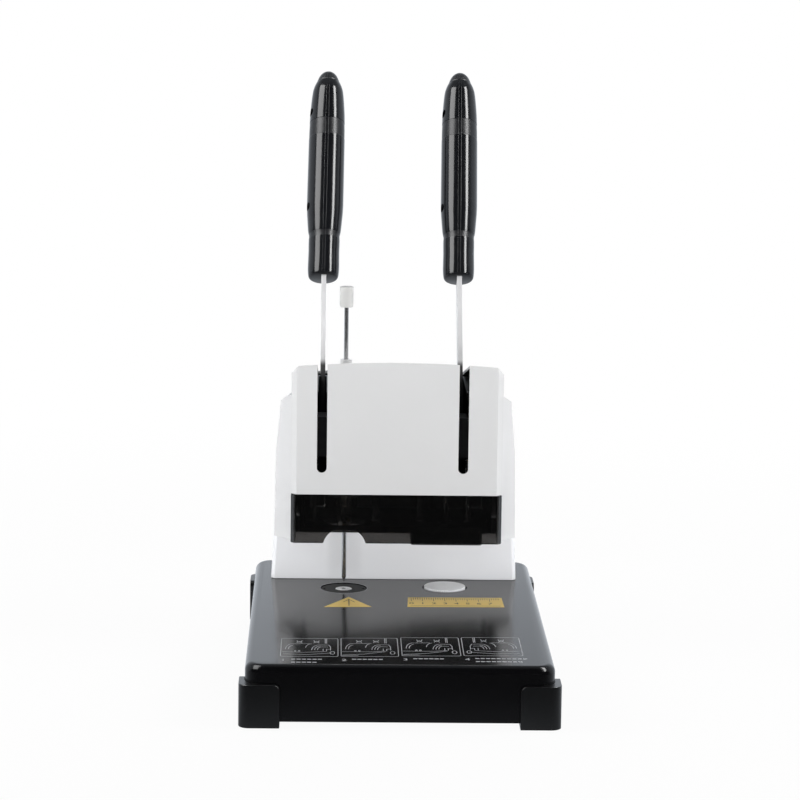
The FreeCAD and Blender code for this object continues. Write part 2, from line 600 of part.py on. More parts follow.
def cover_form(inset):
    """The rear cover's outer form, or its hollow when inset is the wall."""
    steep = "(cover_bevel_end - cover_front) / (cover_half - cover_front_half)"
    shift = "(%s) * (sqrt(1 + (%s) ^ 2) - (%s))" % (inset, steep, steep)
    front, rear = "cover_front + (%s)" % shift, "cover_rear - (%s)" % inset
    plan = [("cover_front_half - (%s)" % inset, front),
            ("cover_half - (%s)" % inset, "cover_bevel_end + (%s)" % shift),
            ("cover_half - (%s)" % inset, "cover_side_end - (%s) * %s" % (inset, cover_share["rear"])),
            ("cover_rear_half - (%s) * %s" % (inset, cover_share["rear"]), rear)]
    foot = "cover_foot"
    if inset != "0":
        plan.insert(0, (plan[0][0], "cover_front - tool_overrun"))
        front, foot = "cover_front - tool_overrun", "cover_foot - tool_overrun"
    right = [("cover_half - (%s)" % inset, foot), ("cover_waist_half - (%s)" % inset, "cover_waist_up"),
             ("cover_shoulder_half - (%s) * %s" % (inset, cover_share["side"]),
              "cover_shoulder_up - (%s) * %s" % (inset, cover_share["shoulder"])),
             ("cover_crown_half - (%s) * %s" % (inset, cover_share["crown"]),
              "cover_back_top - (%s)" % inset)]
    return common(prism("front", mirrored_outline(right), (front, "cover_rear + tool_overrun")),
                  prism("plan", mirrored_outline(plan), ("0", "cover_back_top + tool_overrun")))


def make_rear_cover():
    envelope = housing_form("0", "0", gap="cover_gap")
    shell = cut(cover_form("0"), cover_form("cover_wall"), envelope)
    for x in ("-pillar_side", "pillar_side"):
        for up in ("pillar_low", "pillar_high"):
            shell = cut(shell, cylinder("deep", "cover_screw_radius", (x, up),
                                        ("back_deep", "cover_rear + tool_overrun")))
    node("rear_cover", shell)


def make_skirt():
    sections = []
    for inset in ("0", "skirt_wall"):
        rings = []
        for up, half in (("0", "skirt_foot_half"), ("cover_foot", "skirt_top_half")):
            corner = "visor_bevel"
            right = [("%s - (%s) - %s" % (half, inset, corner), "skirt_front + (%s)" % inset),
                     ("%s - (%s)" % (half, inset), "skirt_front + (%s) + %s" % (inset, corner)),
                     ("%s - (%s)" % (half, inset), "skirt_rear - (%s) - %s" % (inset, corner)),
                     ("%s - (%s) - %s" % (half, inset, corner), "skirt_rear - (%s)" % inset)]
            rings.append(outline("plan", mirrored_outline(right), at=up))
        sections.append(loft(*rings))
    screen = box(("-skirt_screen_half", "skirt_screen_half"), ("skirt_front", "skirt_front + skirt_wall"),
                 ("skirt_screen_foot", "skirt_screen_top"))
    node("column_skirt", fuse(cut(*sections), screen))


def make_visor():
    def plan(inset, rear):
        half = "housing_half - (%s)" % inset
        front = "housing_front + (%s)" % inset
        bevel = "visor_bevel - (%s) * %s" % (inset, bevel_share)
        return mirrored_outline([("%s - (%s)" % (half, bevel), front),
                                 (half, "%s + (%s)" % (front, bevel)), (half, rear)])

    hollow = prism("plan", plan("visor_wall", "visor_rear + tool_overrun"),
                   ("visor_foot - tool_overrun", "housing_foot + tool_overrun"))
    shell = cut(prism("plan", plan("0", "visor_rear"), ("visor_foot", "housing_foot - visor_gap")), hollow)
    right = [("notch_middle + notch_foot_half", "visor_foot - tool_overrun"),
             ("notch_middle + notch_foot_half", "visor_foot"),
             ("notch_middle + notch_top_half", "notch_top")]
    left = [("notch_middle * 2 - (%s)" % x, up) for x, up in reversed(right)]
    bulge = "(notch_foot_half * 2 + notch_top_half) / 3"
    level = "(visor_foot + notch_top * 2) / 3"
    arcs = [(1, "notch_round", ("notch_middle + %s" % bulge, level)),
            (3, "notch_round", ("notch_middle - %s" % bulge, level))]
    through = ("housing_front - tool_overrun", "housing_front + visor_wall + tool_overrun")
    shell = cut(shell, prism("front", right + left, through, arcs))
    tabs = []
    for side in ("-tab_side", "tab_side"):
        tabs.append(box(between(side, "tab_wide"),
                        ("housing_front + visor_wall", "housing_front + visor_wall + tab_thick"),
                        ("housing_foot - tab_reach", "housing_foot + tab_reach")))
    node("visor", fuse(shell, *tabs))


# ---------------------------------------------------------------- frame

rod_places = [("press_axis - press_rod_reach", "station_deep"),
              ("press_axis + press_rod_reach", "station_deep"),
              ("drill_axis - drill_rod_inner", "station_deep"),
              ("drill_axis + drill_rod_outer", "station_deep")]
shaft_at = ("lever_deep", "lever_up")
cover_screw_span = ("cover_rear - cover_screw_long", "cover_rear")


def rack_window(side, low, high):
    return box(between(side, "gear_wide + rack_room"), ("rack_back - rack_room", "rack_back + window_long"),
               (low, high))


def make_cheeks():
    profile = [("cheek_leg_front", "0"), ("cheek_rear", "0"), ("cheek_rear", "cheek_rear_top"),
               ("cheek_front", "cheek_front_top"), ("cheek_front", "guide_plate_up"),
               ("cheek_leg_front", "guide_plate_up")]
    through_flange = ("-tool_overrun", "cheek_flange_thick + tool_overrun")
    for side, sign in (("left", "-"), ("right", "")):
        plates = ["%s(cheek_inner)" % sign, "%s(cheek_inner + cheek_thick)" % sign]
        inner = "%s(cheek_inner - cheek_flange)" % sign
        span = plates[::-1] if sign else plates
        ledge = (plates[0], inner) if sign else (inner, plates[0])
        wall = prism("side", profile, span)
        flange = box(ledge, ("cheek_flange_front", "cheek_flange_front + cheek_flange_long"),
                     ("0", "cheek_flange_thick"))
        cheek = cut(fuse(wall, flange), cylinder("x", "bush_radius", shaft_at, span))
        for x, deep in frame_bolt_places():
            if x.startswith("-") == bool(sign):
                cheek = cut(cheek, cylinder("up", "frame_bolt_radius", (x, deep), through_flange))
        node("frame_%s_cheek" % side, cheek)


def make_plates():
    inside = ("-cheek_inner", "cheek_inner")
    back = box(inside, ("back_deep", "back_deep + back_thick"), ("0", "top_plate_up"))
    window = box(("-back_window_half", "back_window_half"),
                 ("back_deep - tool_overrun", "back_deep + back_thick + tool_overrun"),
                 ("back_window_low", "back_window_high"))
    node("frame_back_plate", fuse(cut(back, window), *shaft_arms(), *cover_pillars()))

    level = ("top_plate_up", "top_plate_up + top_plate_thick")
    tall = ("top_plate_up - tool_overrun", "top_plate_up + top_plate_thick + tool_overrun")
    top = box(inside, ("cheek_front + top_plate_setback", "back_deep + back_thick"), level)
    for side in ("press_lever_side", "drill_lever_side"):
        top = cut(top, box(between(side, "comb_wide"), ("cheek_front - tool_overrun", "comb_end"), tall))
    for side in ("press_gear_side", "drill_gear_side"):
        top = cut(top, rack_window(side, *tall))
    top = cut(top, cylinder("up", "collar_neck_radius", ("press_axis", "station_deep"), tall))
    for at in rod_places:
        top = cut(top, cylinder("up", "rod_radius", at, tall))
    node("frame_top_plate", top)

    level = ("guide_plate_up", "guide_plate_up + guide_plate_thick")
    tall = ("guide_plate_up - tool_overrun", "guide_plate_up + guide_plate_thick + tool_overrun")
    low = box(inside, ("guide_plate_front", "guide_plate_rear"), level)
    low = cut(low, cylinder("up", "heater_hole_radius", ("press_axis", "station_deep"), tall),
              cylinder("up", "drill_hole_radius", ("drill_axis", "station_deep"), tall))
    for at in rod_places:
        low = cut(low, cylinder("up", "rod_radius", at, tall))
    node("lower_guide_plate", low)

    guard = centred_box(("drill_axis", "station_deep"), ("guard_half_wide", "guard_half_deep"),
                        ("guide_plate_up - guard_thick", "guide_plate_up"))
    guard = rounded(guard, "carriage_round", lambda middle, along: abs(along.z) > 0.9)
    node("drill_guard", cut(guard, cylinder("up", "drill_hole_radius", ("drill_axis", "station_deep"),
                                            through_up)))

    rods = [cylinder("up", "rod_radius", at, ("guide_plate_up", "top_plate_up + top_plate_thick"))
            for at in rod_places]
    node("guide_rods", group(*rods))


def shaft_arms():
    """Two arms of the back plate carry the inner ends of the lever shafts."""
    root = [("back_deep", "bracket_root_low"), ("back_deep", "bracket_root_high"),
            ("lever_deep", "lever_up + bracket_round"), ("lever_deep", "lever_up - bracket_round")]
    arms = []
    for side in ("press_bracket_side", "drill_bracket_side"):
        span = between(side, "bracket_thick")
        nose = cylinder("x", "bracket_round", shaft_at, span)
        arms.append(cut(fuse(prism("side", root, span), nose),
                        cylinder("x", "bush_radius", shaft_at, span)))
    return arms


def cover_pillars():
    """Posts that the rear cover is screwed to."""
    posts = []
    for x in ("-pillar_side", "pillar_side"):
        for up in ("pillar_low", "pillar_high"):
            post = cylinder("deep", "pillar_radius", (x, up),
                            ("back_deep + back_thick", "cover_rear - cover_wall"))
            posts.append(cut(post, cylinder("deep", "cover_screw_radius", (x, up), cover_screw_span)))
    return posts


def make_bushes():
    bushes = []
    for span in (between("press_bracket_side", "bracket_thick"),
                 between("drill_bracket_side", "bracket_thick"),
                 ("-cheek_inner - cheek_thick", "-cheek_inner"),
                 ("cheek_inner", "cheek_inner + cheek_thick")):
        bushes.append(cut(cylinder("x", "bush_radius", shaft_at, span),
                          cylinder("x", "shaft_radius + shaft_play", shaft_at, span)))
    node("shaft_bushes", group(*bushes))


def make_fasteners():
    bolts = []
    for at in frame_bolt_places():
        head = cylinder("up", "frame_head_radius", at,
                        ("cheek_flange_thick", "cheek_flange_thick + frame_head_thick"))
        bolts.append(fuse(head, cylinder("up", "frame_bolt_radius", at,
                                         ("cheek_flange_thick - frame_bolt_long", "cheek_flange_thick"))))
    node("frame_bolts", group(*bolts))
    for x in ("-pillar_side", "pillar_side"):
        for up in ("pillar_low", "pillar_high"):
            at = (x, up)
            head = cylinder("deep", "cover_head_radius", at,
                            ("cover_rear", "cover_rear + cover_head_thick"))
            case_screws.append(fuse(head, cylinder("deep", "cover_screw_radius", at, cover_screw_span)))
    node("case_screws", group(*case_screws))


def make_return_springs():
    """Compression springs round the rods, as sleeves of the coil's inner and outer size."""
    span = ("guide_plate_up + guide_plate_thick", "carriage_foot")
    for label, places in (("press_return_springs", rod_places[:2]),
                          ("drill_return_springs", rod_places[2:])):
        coils = []
        for at in places:
            coils.append(cut(cylinder("up", "rod_radius + spring_play + spring_wall", at, span),
                             cylinder("up", "rod_radius + spring_play", at, span)))
        node(label, group(*coils))


# ---------------------------------------------------------------- levers

def bowed(line, start, end, bow):
    """The arc that stands proud of a line of an outline by a given rise, for outline's list."""
    chord = "sqrt((%s - (%s)) ^ 2 + (%s - (%s)) ^ 2)" % (end[0], start[0], end[1], start[1])
    radius = "((%s) ^ 2 / (8 * %s) + %s / 2)" % (chord, bow, bow)
    crest = ("(%s + (%s)) / 2 + %s" % (start[0], end[0], bow), "(%s + (%s)) / 2" % (start[1], end[1]))
    return line, radius, crest


def grip_profile():
    """Half of the grip's outline: foot, neck, groove, swelling handle and domed cap."""
    base, end = "grip_start", "(grip_start + grip_long)"
    neck_end = "(grip_start + grip_neck_long)"
    body_start = "(%s + grip_groove_long)" % neck_end
    points = [("0", base), ("grip_foot_half", base), ("grip_ankle_half", "(%s + grip_foot_long)" % base),
              ("grip_neck_half", neck_end), ("grip_groove_half", "%s + grip_groove_slope" % neck_end),
              ("grip_groove_half", "%s - grip_groove_slope" % body_start),
              ("grip_collar_half", body_start), ("grip_body_half", "(%s + grip_collar_long)" % body_start),
              ("grip_shoulder_half", "(%s - grip_dome_long - grip_cap_long)" % end),
              ("grip_cap_half", "(%s - grip_cap_long)" % end), ("0", end)]
    bows = {2: "grip_neck_bow", 7: "grip_body_bow", 8: "grip_dome_bow"}
    arcs = [bowed(line, points[line], points[line + 1], bow) for line, bow in bows.items()]
    cap = "(grip_cap_half ^ 2 + grip_cap_long ^ 2) / (2 * grip_cap_long)"
    arcs.append((9, cap, ("grip_cap_half * 0.6", "%s - grip_cap_long * 0.24" % end)))
    return points, arcs


def make_lever(name, side, gear_side, shaft_ends):
    """One hand lever: bar, two grip halves and their screws, pinion and shaft."""
    flat = (("-bar_thick / 2", "bar_thick / 2"), ("-bar_wide / 2", "bar_wide / 2"))
    bar = fuse(box(*flat, ("0", "bar_long")),
               cylinder("x", "hub_radius", ("0", "0"), ("-hub_wide / 2", "hub_wide / 2")))
    bar = cut(bar, cylinder("x", "shaft_radius", ("0", "0"), ("-hub_wide", "hub_wide")))
    screw_places = [("0", "grip_screw_low"), ("0", "grip_screw_high")]
    for at in screw_places:
        bar = cut(bar, cylinder("x", "grip_screw_radius", at, ("-bar_thick", "bar_thick")))
    tilted("%s_lever_bar" % name, bar, side)

    grip = revolved(*grip_profile())
    pocket = box(*flat, ("grip_start - tool_overrun", "bar_long"))
    wide = "grip_body_half + tool_overrun"
    tall = ("grip_start - tool_overrun", "grip_start + grip_long + tool_overrun")
    shank_span = ("-grip_head_depth", "grip_head_depth")
    for hand, span in (("left", ("-(%s)" % wide, "0")), ("right", ("0", wide))):
        shell = cut(common(grip, box(span, ("-(%s)" % wide, wide), tall)), pocket)
        for at in screw_places:
            if hand == "left":
                shell = cut(shell, cylinder("x", "grip_head_radius", at, (span[0], shank_span[0])))
            shell = cut(shell, cylinder("x", "grip_screw_radius", at, shank_span))
        tilted("%s_grip_%s_half" % (name, hand), shell, side)
    screws = []
    for at in screw_places:
        head = cylinder("x", "grip_head_radius", at, ("-grip_head_depth - grip_head_thick", shank_span[0]))
        screws.append(fuse(head, cylinder("x", "grip_screw_radius", at, shank_span)))
    tilted("%s_grip_screws" % name, group(*screws), side)
    node("%s_shaft" % name, cylinder("x", "shaft_radius", shaft_at, shaft_ends))
    make_pinion("%s_pinion" % name, gear_side)


def plane_of(body, role):
    return next(feature for feature in body.Origin.OriginFeatures if feature.Role == role)


def polygon_in(sketch, corners):
    """Closed polygon whose corners follow formulas."""
    points = [Vector(value(a), value(b), 0) for a, b in corners]
    count = len(points)
    for number in range(count):
        sketch.addGeometry(Part.LineSegment(points[number], points[(number + 1) % count]))
    for number in range(count):
        sketch.addConstraint(Sketcher.Constraint("Coincident", number, 2, (number + 1) % count, 1))
        for kind, text in zip(("DistanceX", "DistanceY"), corners[number]):
            index = sketch.addConstraint(Sketcher.Constraint(kind, -1, 1, number, 1, value(text)))
            sketch.setExpression("Constraints[%d]" % index, formula(text))


def circle_in(sketch, radius):
    index = sketch.addGeometry(Part.Circle(Vector(), Vector(0, 0, 1), value(radius)))
    sketch.addConstraint(Sketcher.Constraint("Coincident", index, 3, -1, 1))
    number = sketch.addConstraint(Sketcher.Constraint("Radius", index, value(radius)))
    sketch.setExpression("Constraints[%d]" % number, formula(radius))


def sketch_in(body, role):
    sketch = body.newObject("Sketcher::SketchObject", "profile")
    sketch.AttachmentSupport = [(plane_of(body, role), "")]
    sketch.MapMode = "FlatFace"
    return sketch


flank_base = "(pitch_radius * cos(gear_angle))"
flank_start = flank_base + " * 1.0001"    # just outside the base circle, where the involute begins


def involute(radius):
    """Degrees turned by the involute out to a radius."""
    share = "(%s / (%s))" % (flank_base, radius)
    return "(tan(acos(%s)) * 180 / pi - acos(%s) / 1 deg)" % (share, share)


def gap_half_angle(radius):
    """Half of the space between two teeth, in degrees, widened by half of the play."""
    tooth = "90 / pinion_teeth + %s - %s" % (involute("pitch_radius"), involute(radius))
    play = "gear_play / 4 / pitch_radius * 180 / pi"
    return "(180 / pinion_teeth - (%s) + %s)" % (tooth, play)


def make_pinion(label, side):
    """A spur gear: a round blank, one tooth space, and the space repeated round the axis."""
    body = doc.addObject("PartDesign::Body", label)
    blank = sketch_in(body, "XY_Plane")
    circle_in(blank, "pitch_radius + gear_module")
    circle_in(blank, "shaft_radius")
    pad = body.newObject("PartDesign::Pad", "blank")
    pad.Profile = blank
    bind(pad, Length="gear_wide")
    space = sketch_in(body, "XY_Plane")
    root = "pitch_radius - gear_root * gear_module"
    upper = []
    for radius, flank_at in ((root, flank_start), (flank_start, flank_start),
                             ("pitch_radius", "pitch_radius"),
                             ("pitch_radius + gear_module", "pitch_radius + gear_module")):
        angle = gap_half_angle(flank_at)
        upper.append(("(%s) * cos(%s)" % (radius, angle), "(%s) * sin(%s)" % (radius, angle)))
    outside = "pitch_radius + gear_module * 2"
    upper.append((outside, upper[-1][1] + " * gap_flare"))
    lower = [(x, "-(%s)" % y) for x, y in reversed(upper)]
    polygon_in(space, upper + lower)
    doc.recompute()
    pocket = body.newObject("PartDesign::Pocket", "tooth_space")
    pocket.Profile = space
    pocket.Type = "ThroughAll"
    pocket.Midplane = True
    doc.recompute()
    turned = body.newObject("PartDesign::PolarPattern", "teeth")
    turned.Originals = [pocket]
    turned.Axis = (plane_of(body, "Z_Axis"), [""])
    turned.Angle = 360
    bind(turned, Occurrences="pinion_teeth")
    body.Tip = turned
    facing_rack = planes["side"].multiply(Rotation(Vector(0, 0, 1), 180))
    stand(body, "%s - gear_wide / 2" % side, "lever_deep", "lever_up", turn=facing_rack)
    node(label, body)


def make_rack(label, side):
    """A straight rack: a bar, one tooth space, and the space repeated along it."""
    body = doc.addObject("PartDesign::Body", label)
    bar = sketch_in(body, "YZ_Plane")
    top = "lever_up + carriage_travel + tooth_pitch"
    polygon_in(bar, [("rack_back", "carriage_foot"), ("rack_tip", "carriage_foot"), ("rack_tip", top),
                     ("rack_back", top)])
    pad = body.newObject("PartDesign::Pad", "bar")
    pad.Profile = bar
    bind(pad, Length="gear_wide")
    space = sketch_in(body, "YZ_Plane")
    middle = "(lever_up - rack_lead * tooth_pitch)"
    below, above = [], []
    for share in ("-gear_root", "2"):
        half = "(tooth_pitch / 4 + gear_play / 4 + (%s) * gear_module * tan(gear_angle))" % share
        below.append(("rack_line + (%s) * gear_module" % share, "%s - %s" % (middle, half)))
        above.insert(0, ("rack_line + (%s) * gear_module" % share, "%s + %s" % (middle, half)))
    polygon_in(space, below + above)
    doc.recompute()
    pocket = body.newObject("PartDesign::Pocket", "tooth_space")
    pocket.Profile = space
    pocket.Type = "ThroughAll"
    pocket.Midplane = True
    doc.recompute()
    row = body.newObject("PartDesign::LinearPattern", "teeth")
    row.Originals = [pocket]
    row.Direction = (plane_of(body, "Z_Axis"), [""])
    bind(row, Occurrences="rack_tooth_count", Length="(rack_tooth_count - 1) * tooth_pitch")
    body.Tip = row
    stand(body, "%s - gear_wide / 2" % side)
    node(label, body)


# ---------------------------------------------------------------- carriages

drill_at = ("drill_axis", "station_deep")
motor_at = ("motor_side", "motor_deep")


def carriage_block(left, right, gear_side, axis, bore):
    block = box((left, right), ("carriage_front", "carriage_rear"), ("carriage_foot", "carriage_top"))
    block = rounded(block, "carriage_round", lambda middle, along: abs(along.z) > 0.9)
    tall = ("carriage_foot - tool_overrun", "carriage_top + tool_overrun")
    notch = box(between(gear_side, "gear_wide + rack_slot_play"),
                ("rack_back", "carriage_rear + tool_overrun"), tall)
    return cut(block, notch, cylinder("up", bore, (axis, "station_deep"), tall))


def make_press_carriage():
    at = ("press_axis", "station_deep")
    bore = cylinder("up", "heater_bore", at, through_up)
    block = carriage_block("press_axis - press_rod_reach - carriage_rim",
                           "press_axis + press_rod_reach + carriage_rim", "press_gear_side", "press_axis",
                           "heater_bore")
    for place in rod_places[:2]:
        block = cut(block, cylinder("up", "rod_radius + rod_play", place, through_up))
    node("press_carriage_block", block)
    make_rack("press_rack", "press_gear_side")
    down = "carriage_foot - insulator_thick"
    insulator = cylinder("up", "insulator_radius", at, (down, "carriage_foot"))
    notch = box(between("press_gear_side", "gear_wide + rack_room"),
                ("carriage_front + insulator_notch", "carriage_rear + tool_overrun"),
                ("%s - tool_overrun" % down, "carriage_foot + tool_overrun"))
    node("heat_insulator", cut(insulator, notch, bore))
    foot = "%s - heater_long" % down
    heater = cylinder("up", "heater_radius", at, (foot, down))
    for number in range(int(value("heater_fins"))):
        level = "%s + heater_fin_wide * (%d * 2 + 1)" % (foot, number)
        groove = (level, level + " + heater_fin_wide")
        heater = cut(heater, cut(cylinder("up", "heater_radius + pass_room", at, groove),
                                 cylinder("up", "heater_radius - heater_fin_deep", at, groove)))
    node("heater_block", cut(heater, bore))
    tip = "%s - die_long" % foot
    die = fuse(cylinder("up", "die_radius", at, ("%s + die_taper" % tip, foot)),
               cone("die_tip_radius", "die_radius", at, (tip, "%s + die_taper" % tip)))
    node("upper_die", cut(die, bore))


def make_motor_plate():
    """A plate on the carriage that reaches forward and carries the motor under it."""
    front, rear = "motor_plate_front", "carriage_rear"
    left, right = "motor_side - motor_plate_half", "motor_side + motor_plate_half"
    corners = [(left, front), (right, front), (right, "carriage_front"),
               ("motor_plate_outer", "carriage_front + motor_plate_step * 2"), ("motor_plate_outer", rear),
               ("motor_plate_inner", rear), ("motor_plate_inner", "carriage_front + motor_plate_step"),
               (left, "carriage_front - motor_plate_step")]
    plate = prism("plan", corners, ("carriage_top", "motor_plate_top"))
    node("motor_plate", cut(plate,
                            cylinder("up", "spindle_radius + pass_room", drill_at, through_up),
                            cylinder("up", "motor_shaft_radius + pass_room", motor_at, through_up)))


def make_drill_carriage():
    block = carriage_block("drill_axis - drill_rod_inner - carriage_rim",
                           "drill_axis + drill_rod_outer + carriage_rim", "drill_gear_side", "drill_axis",
                           "spindle_radius + pass_room")
    seats = [("carriage_foot", "carriage_foot + bearing_long"),
             ("carriage_top - bearing_long", "carriage_top")]
    for span in seats:
        block = cut(block, cylinder("up", "bearing_radius", drill_at, span))
    for place in rod_places[2:]:
        block = cut(block, cylinder("up", "rod_radius + rod_play", place, through_up))
    node("drill_carriage_block", block)
    rings = [cut(cylinder("up", "bearing_radius", drill_at, span),
                 cylinder("up", "spindle_radius + bearing_play", drill_at, span)) for span in seats]
    node("spindle_bearings", group(*rings))
    make_rack("drill_rack", "drill_gear_side")
    make_motor_plate()
    foot = "carriage_top - motor_long"
    motor = fuse(cylinder("up", "motor_radius", motor_at, (foot, "carriage_top")),
                 cylinder("up", "motor_boss_radius", motor_at, ("%s - motor_boss_long" % foot, foot)))
    node("drill_motor", cut(motor, cylinder("up", "motor_shaft_radius + shaft_play", motor_at,
                                            ("carriage_top - motor_shaft_deep", "carriage_top"))))


def pulley(at, flange, core):
    """A flanged pulley, grooved for the belt."""
    groove = ("pulley_foot + pulley_rim", "pulley_top - pulley_rim")
    return cut(cylinder("up", flange, at, ("pulley_foot", "pulley_top")),
               cut(cylinder("up", flange + " + pass_room", at, groove), cylinder("up", core, at, groove)))


def make_spindle():
    chuck_top = "carriage_foot - chuck_gap"
    chuck_foot = "%s - chuck_long" % chuck_top
    shaft_top = "pulley_foot + pulley_overlap"
    shaft = cylinder("up", "spindle_radius", drill_at, ("%s - spindle_in_chuck" % chuck_top, shaft_top))
    node("drill_spindle", fuse(shaft, pulley(drill_at, "pulley_flange_radius", "pulley_radius")))
    drill_top = "%s + drill_inside" % chuck_foot
    chuck = fuse(cylinder("up", "chuck_radius", drill_at, ("%s + chuck_cone" % chuck_foot, chuck_top)),
                 cone("chuck_nose", "chuck_radius", drill_at, (chuck_foot, "%s + chuck_cone" % chuck_foot)))
    chuck = cut(chuck, cylinder("up", "spindle_radius", drill_at,
                                ("%s - spindle_in_chuck" % chuck_top, "carriage_top")),
                cylinder("up", "drill_radius", drill_at, (table, drill_top)))
    node("drill_chuck", chuck)
    bit = cylinder("up", "drill_radius", drill_at, ("%s - drill_long" % chuck_foot, drill_top))
    node("hollow_drill", cut(bit, cylinder("up", "drill_bore", drill_at,
                                           (table, "%s - drill_stopper" % drill_top))))
    shaft = cylinder("up", "motor_shaft_radius", motor_at, ("carriage_top - motor_shaft_grip", shaft_top))
    node("motor_pulley", fuse(shaft, pulley(motor_at, "motor_pulley_flange", "motor_pulley_radius")))
    make_belt()


def belt_loop(grow):
    """A band round two pulleys: two rounds and the straight web between their tangents."""
    low, tall = value("pulley_foot + pulley_rim + seat_gap"), value("belt_wide")
    centres = [Vector(value(x), value(deep), low) for x, deep in (motor_at, drill_at)]
    radii = [value(core + " + belt_gap + (%s)" % grow) for core in ("motor_pulley_radius", "pulley_radius")]
    along = (centres[1] - centres[0]).normalize()
    across = Vector(-along.y, along.x, 0)
    lean = (radii[0] - radii[1]) / (centres[1] - centres[0]).Length
    reach = math.sqrt(1 - lean ** 2)
    corners = []
    for centre, radius, sides in ((centres[0], radii[0], (1, -1)), (centres[1], radii[1], (-1, 1))):
        corners += [centre + (along * lean + across * reach * side) * radius for side in sides]
    web = Part.Face(Part.makePolygon(corners + corners[:1])).extrude(Vector(0, 0, tall))
    rounds = [Part.makeCylinder(radius, tall, centre) for centre, radius in zip(centres, radii)]
    return web.fuse(rounds)


def make_belt():
    belt = doc.addObject("Part::Feature", "drive_belt")
    belt.Shape = belt_loop("belt_thick").cut(belt_loop("0")).removeSplitter()
    node("drive_belt", belt)


# ---------------------------------------------------------------- needle

def make_needle():
    at = ("press_axis", "station_deep")
    rod = fuse(cylinder("up", "needle_radius", at, ("needle_tip + needle_cone", "needle_top")),
               cone("needle_radius / 4", "needle_radius", at, ("needle_tip", "needle_tip + needle_cone")))
    node("guide_needle", rod)
    profile = [("0", "knob_foot"), ("knob_radius - knob_edge", "knob_foot"),
               ("knob_radius", "knob_foot + knob_edge"), ("knob_radius", "knob_top - knob_edge"),
               ("knob_radius - knob_edge", "knob_top"), ("0", "knob_top")]
    knob = stand(group(revolved(profile)), *at)
    node("needle_knob", cut(knob, cylinder("up", "needle_radius", at, ("needle_tip", "needle_top"))))


# ---------------------------------------------------------------- electrics

def make_transformer():
    middle = ("transformer_side", "transformer_deep")
    core = centred_box(middle, ("transformer_wide / 2", "transformer_stack / 2"),
                       ("plate_top", "plate_top + transformer_tall"))
    gap = "(transformer_tall - winding_tall) / 2"
    coil = centred_box(middle, ("winding_wide / 2", "winding_deep / 2"),
                       ("plate_top + %s" % gap, "plate_top + %s + winding_tall" % gap))
    coil = rounded(coil, "carriage_round", lambda middle, along: abs(along.z) > 0.9)
    node("transformer", fuse(core, coil))


def make_board():
    middle = ("board_side", "board_deep")
    top = "board_foot + board_thick"
    board = centred_box(middle, ("board_wide / 2", "board_long / 2"), ("board_foot", top))
    relay = centred_box(("board_side - board_wide / 4", "board_deep"),
                        ("relay_wide / 2", "relay_long / 2"), (top, "%s + relay_tall" % top))
    can = cylinder("up", "capacitor_radius", ("board_side + board_wide / 4", "board_deep - board_long / 4"),
                   (top, "%s + capacitor_tall" % top))
    node("control_board", fuse(board, relay, can))


def make_inlet():
    rear = "base_deep"
    up = "inlet_up - base_top"
    flange = box(between("inlet_side", "inlet_flange_wide"), (rear, "%s + inlet_flange_thick" % rear),
                 between(up, "inlet_flange_tall"))
    body = box(between("inlet_side", "inlet_body_wide"), ("%s - inlet_body_deep" % rear, rear),
               between(up, "inlet_body_tall"))
    outside = "%s + inlet_flange_thick + tool_overrun" % rear
    socket_foot = "%s + inlet_flange_thick - socket_deep" % rear
    socket = box(between("socket_side", "socket_wide"), (socket_foot, outside), between(up, "socket_tall"))
    well = box(between("rocker_side", "rocker_wide + rocker_gap * 2"),
               ("rocker_deep - rocker_well_deep", outside),
               between(up, "(rocker_half_tall + rocker_end_gap) * 2"))
    axle = cylinder("x", "rocker_axle_radius + shaft_play", ("rocker_deep", up),
                    between("rocker_side", "rocker_wide + rocker_axle_reach * 2 + rocker_gap"))
    frame = cut(fuse(flange, body), socket, well, axle)
    pins = []
    for x, lift in (("socket_side - pin_spread", "-pin_drop / 2"), ("socket_side", "pin_drop / 2"),
                    ("socket_side + pin_spread", "-pin_drop / 2")):
        pins.append(cylinder("deep", "pin_radius", (x, "%s + %s" % (up, lift)),
                             (socket_foot, "%s - inlet_floor" % rear)))
    node("power_inlet", fuse(frame, *pins))
    profile = [("-rocker_root", "-rocker_root"), ("rocker_lip", "-rocker_half_tall"),
               ("rocker_shoulder", "-rocker_half_tall"), ("rocker_crown", "0"),
               ("rocker_shoulder", "rocker_half_tall"), ("rocker_lip", "rocker_half_tall"),
               ("-rocker_root", "rocker_root")]
    key = prism("side", profile, ("-rocker_wide / 2", "rocker_wide / 2"))
    rocker = fuse(key, cylinder("x", "rocker_axle_radius", ("0", "0"),
                                between("0", "rocker_wide + rocker_axle_reach * 2")))
    stands[rocker.Name] = ("rocker_side", "rocker_deep", up)
    node("power_rocker", rocker, tilt="rocker_tilt")


def export_all():
    """Checks every object, then writes each sub-part to its own file."""
    doc.recompute()
    faults = [thing.Name for thing in doc.Objects if {"Invalid", "Error"} & set(thing.State)]
    for label, thing in nodes.items():
        if thing.Shape.isNull() or not thing.Shape.isValid() or not thing.Shape.Solids:
            faults.append(label)
    if faults:
        raise RuntimeError("not sound: " + ", ".join(faults))
    os.makedirs("parts", exist_ok=True)
    for label, thing in nodes.items():
        thing.Shape.exportStep("parts/%s.step" % label)
    print(len(nodes), "sub-parts written")


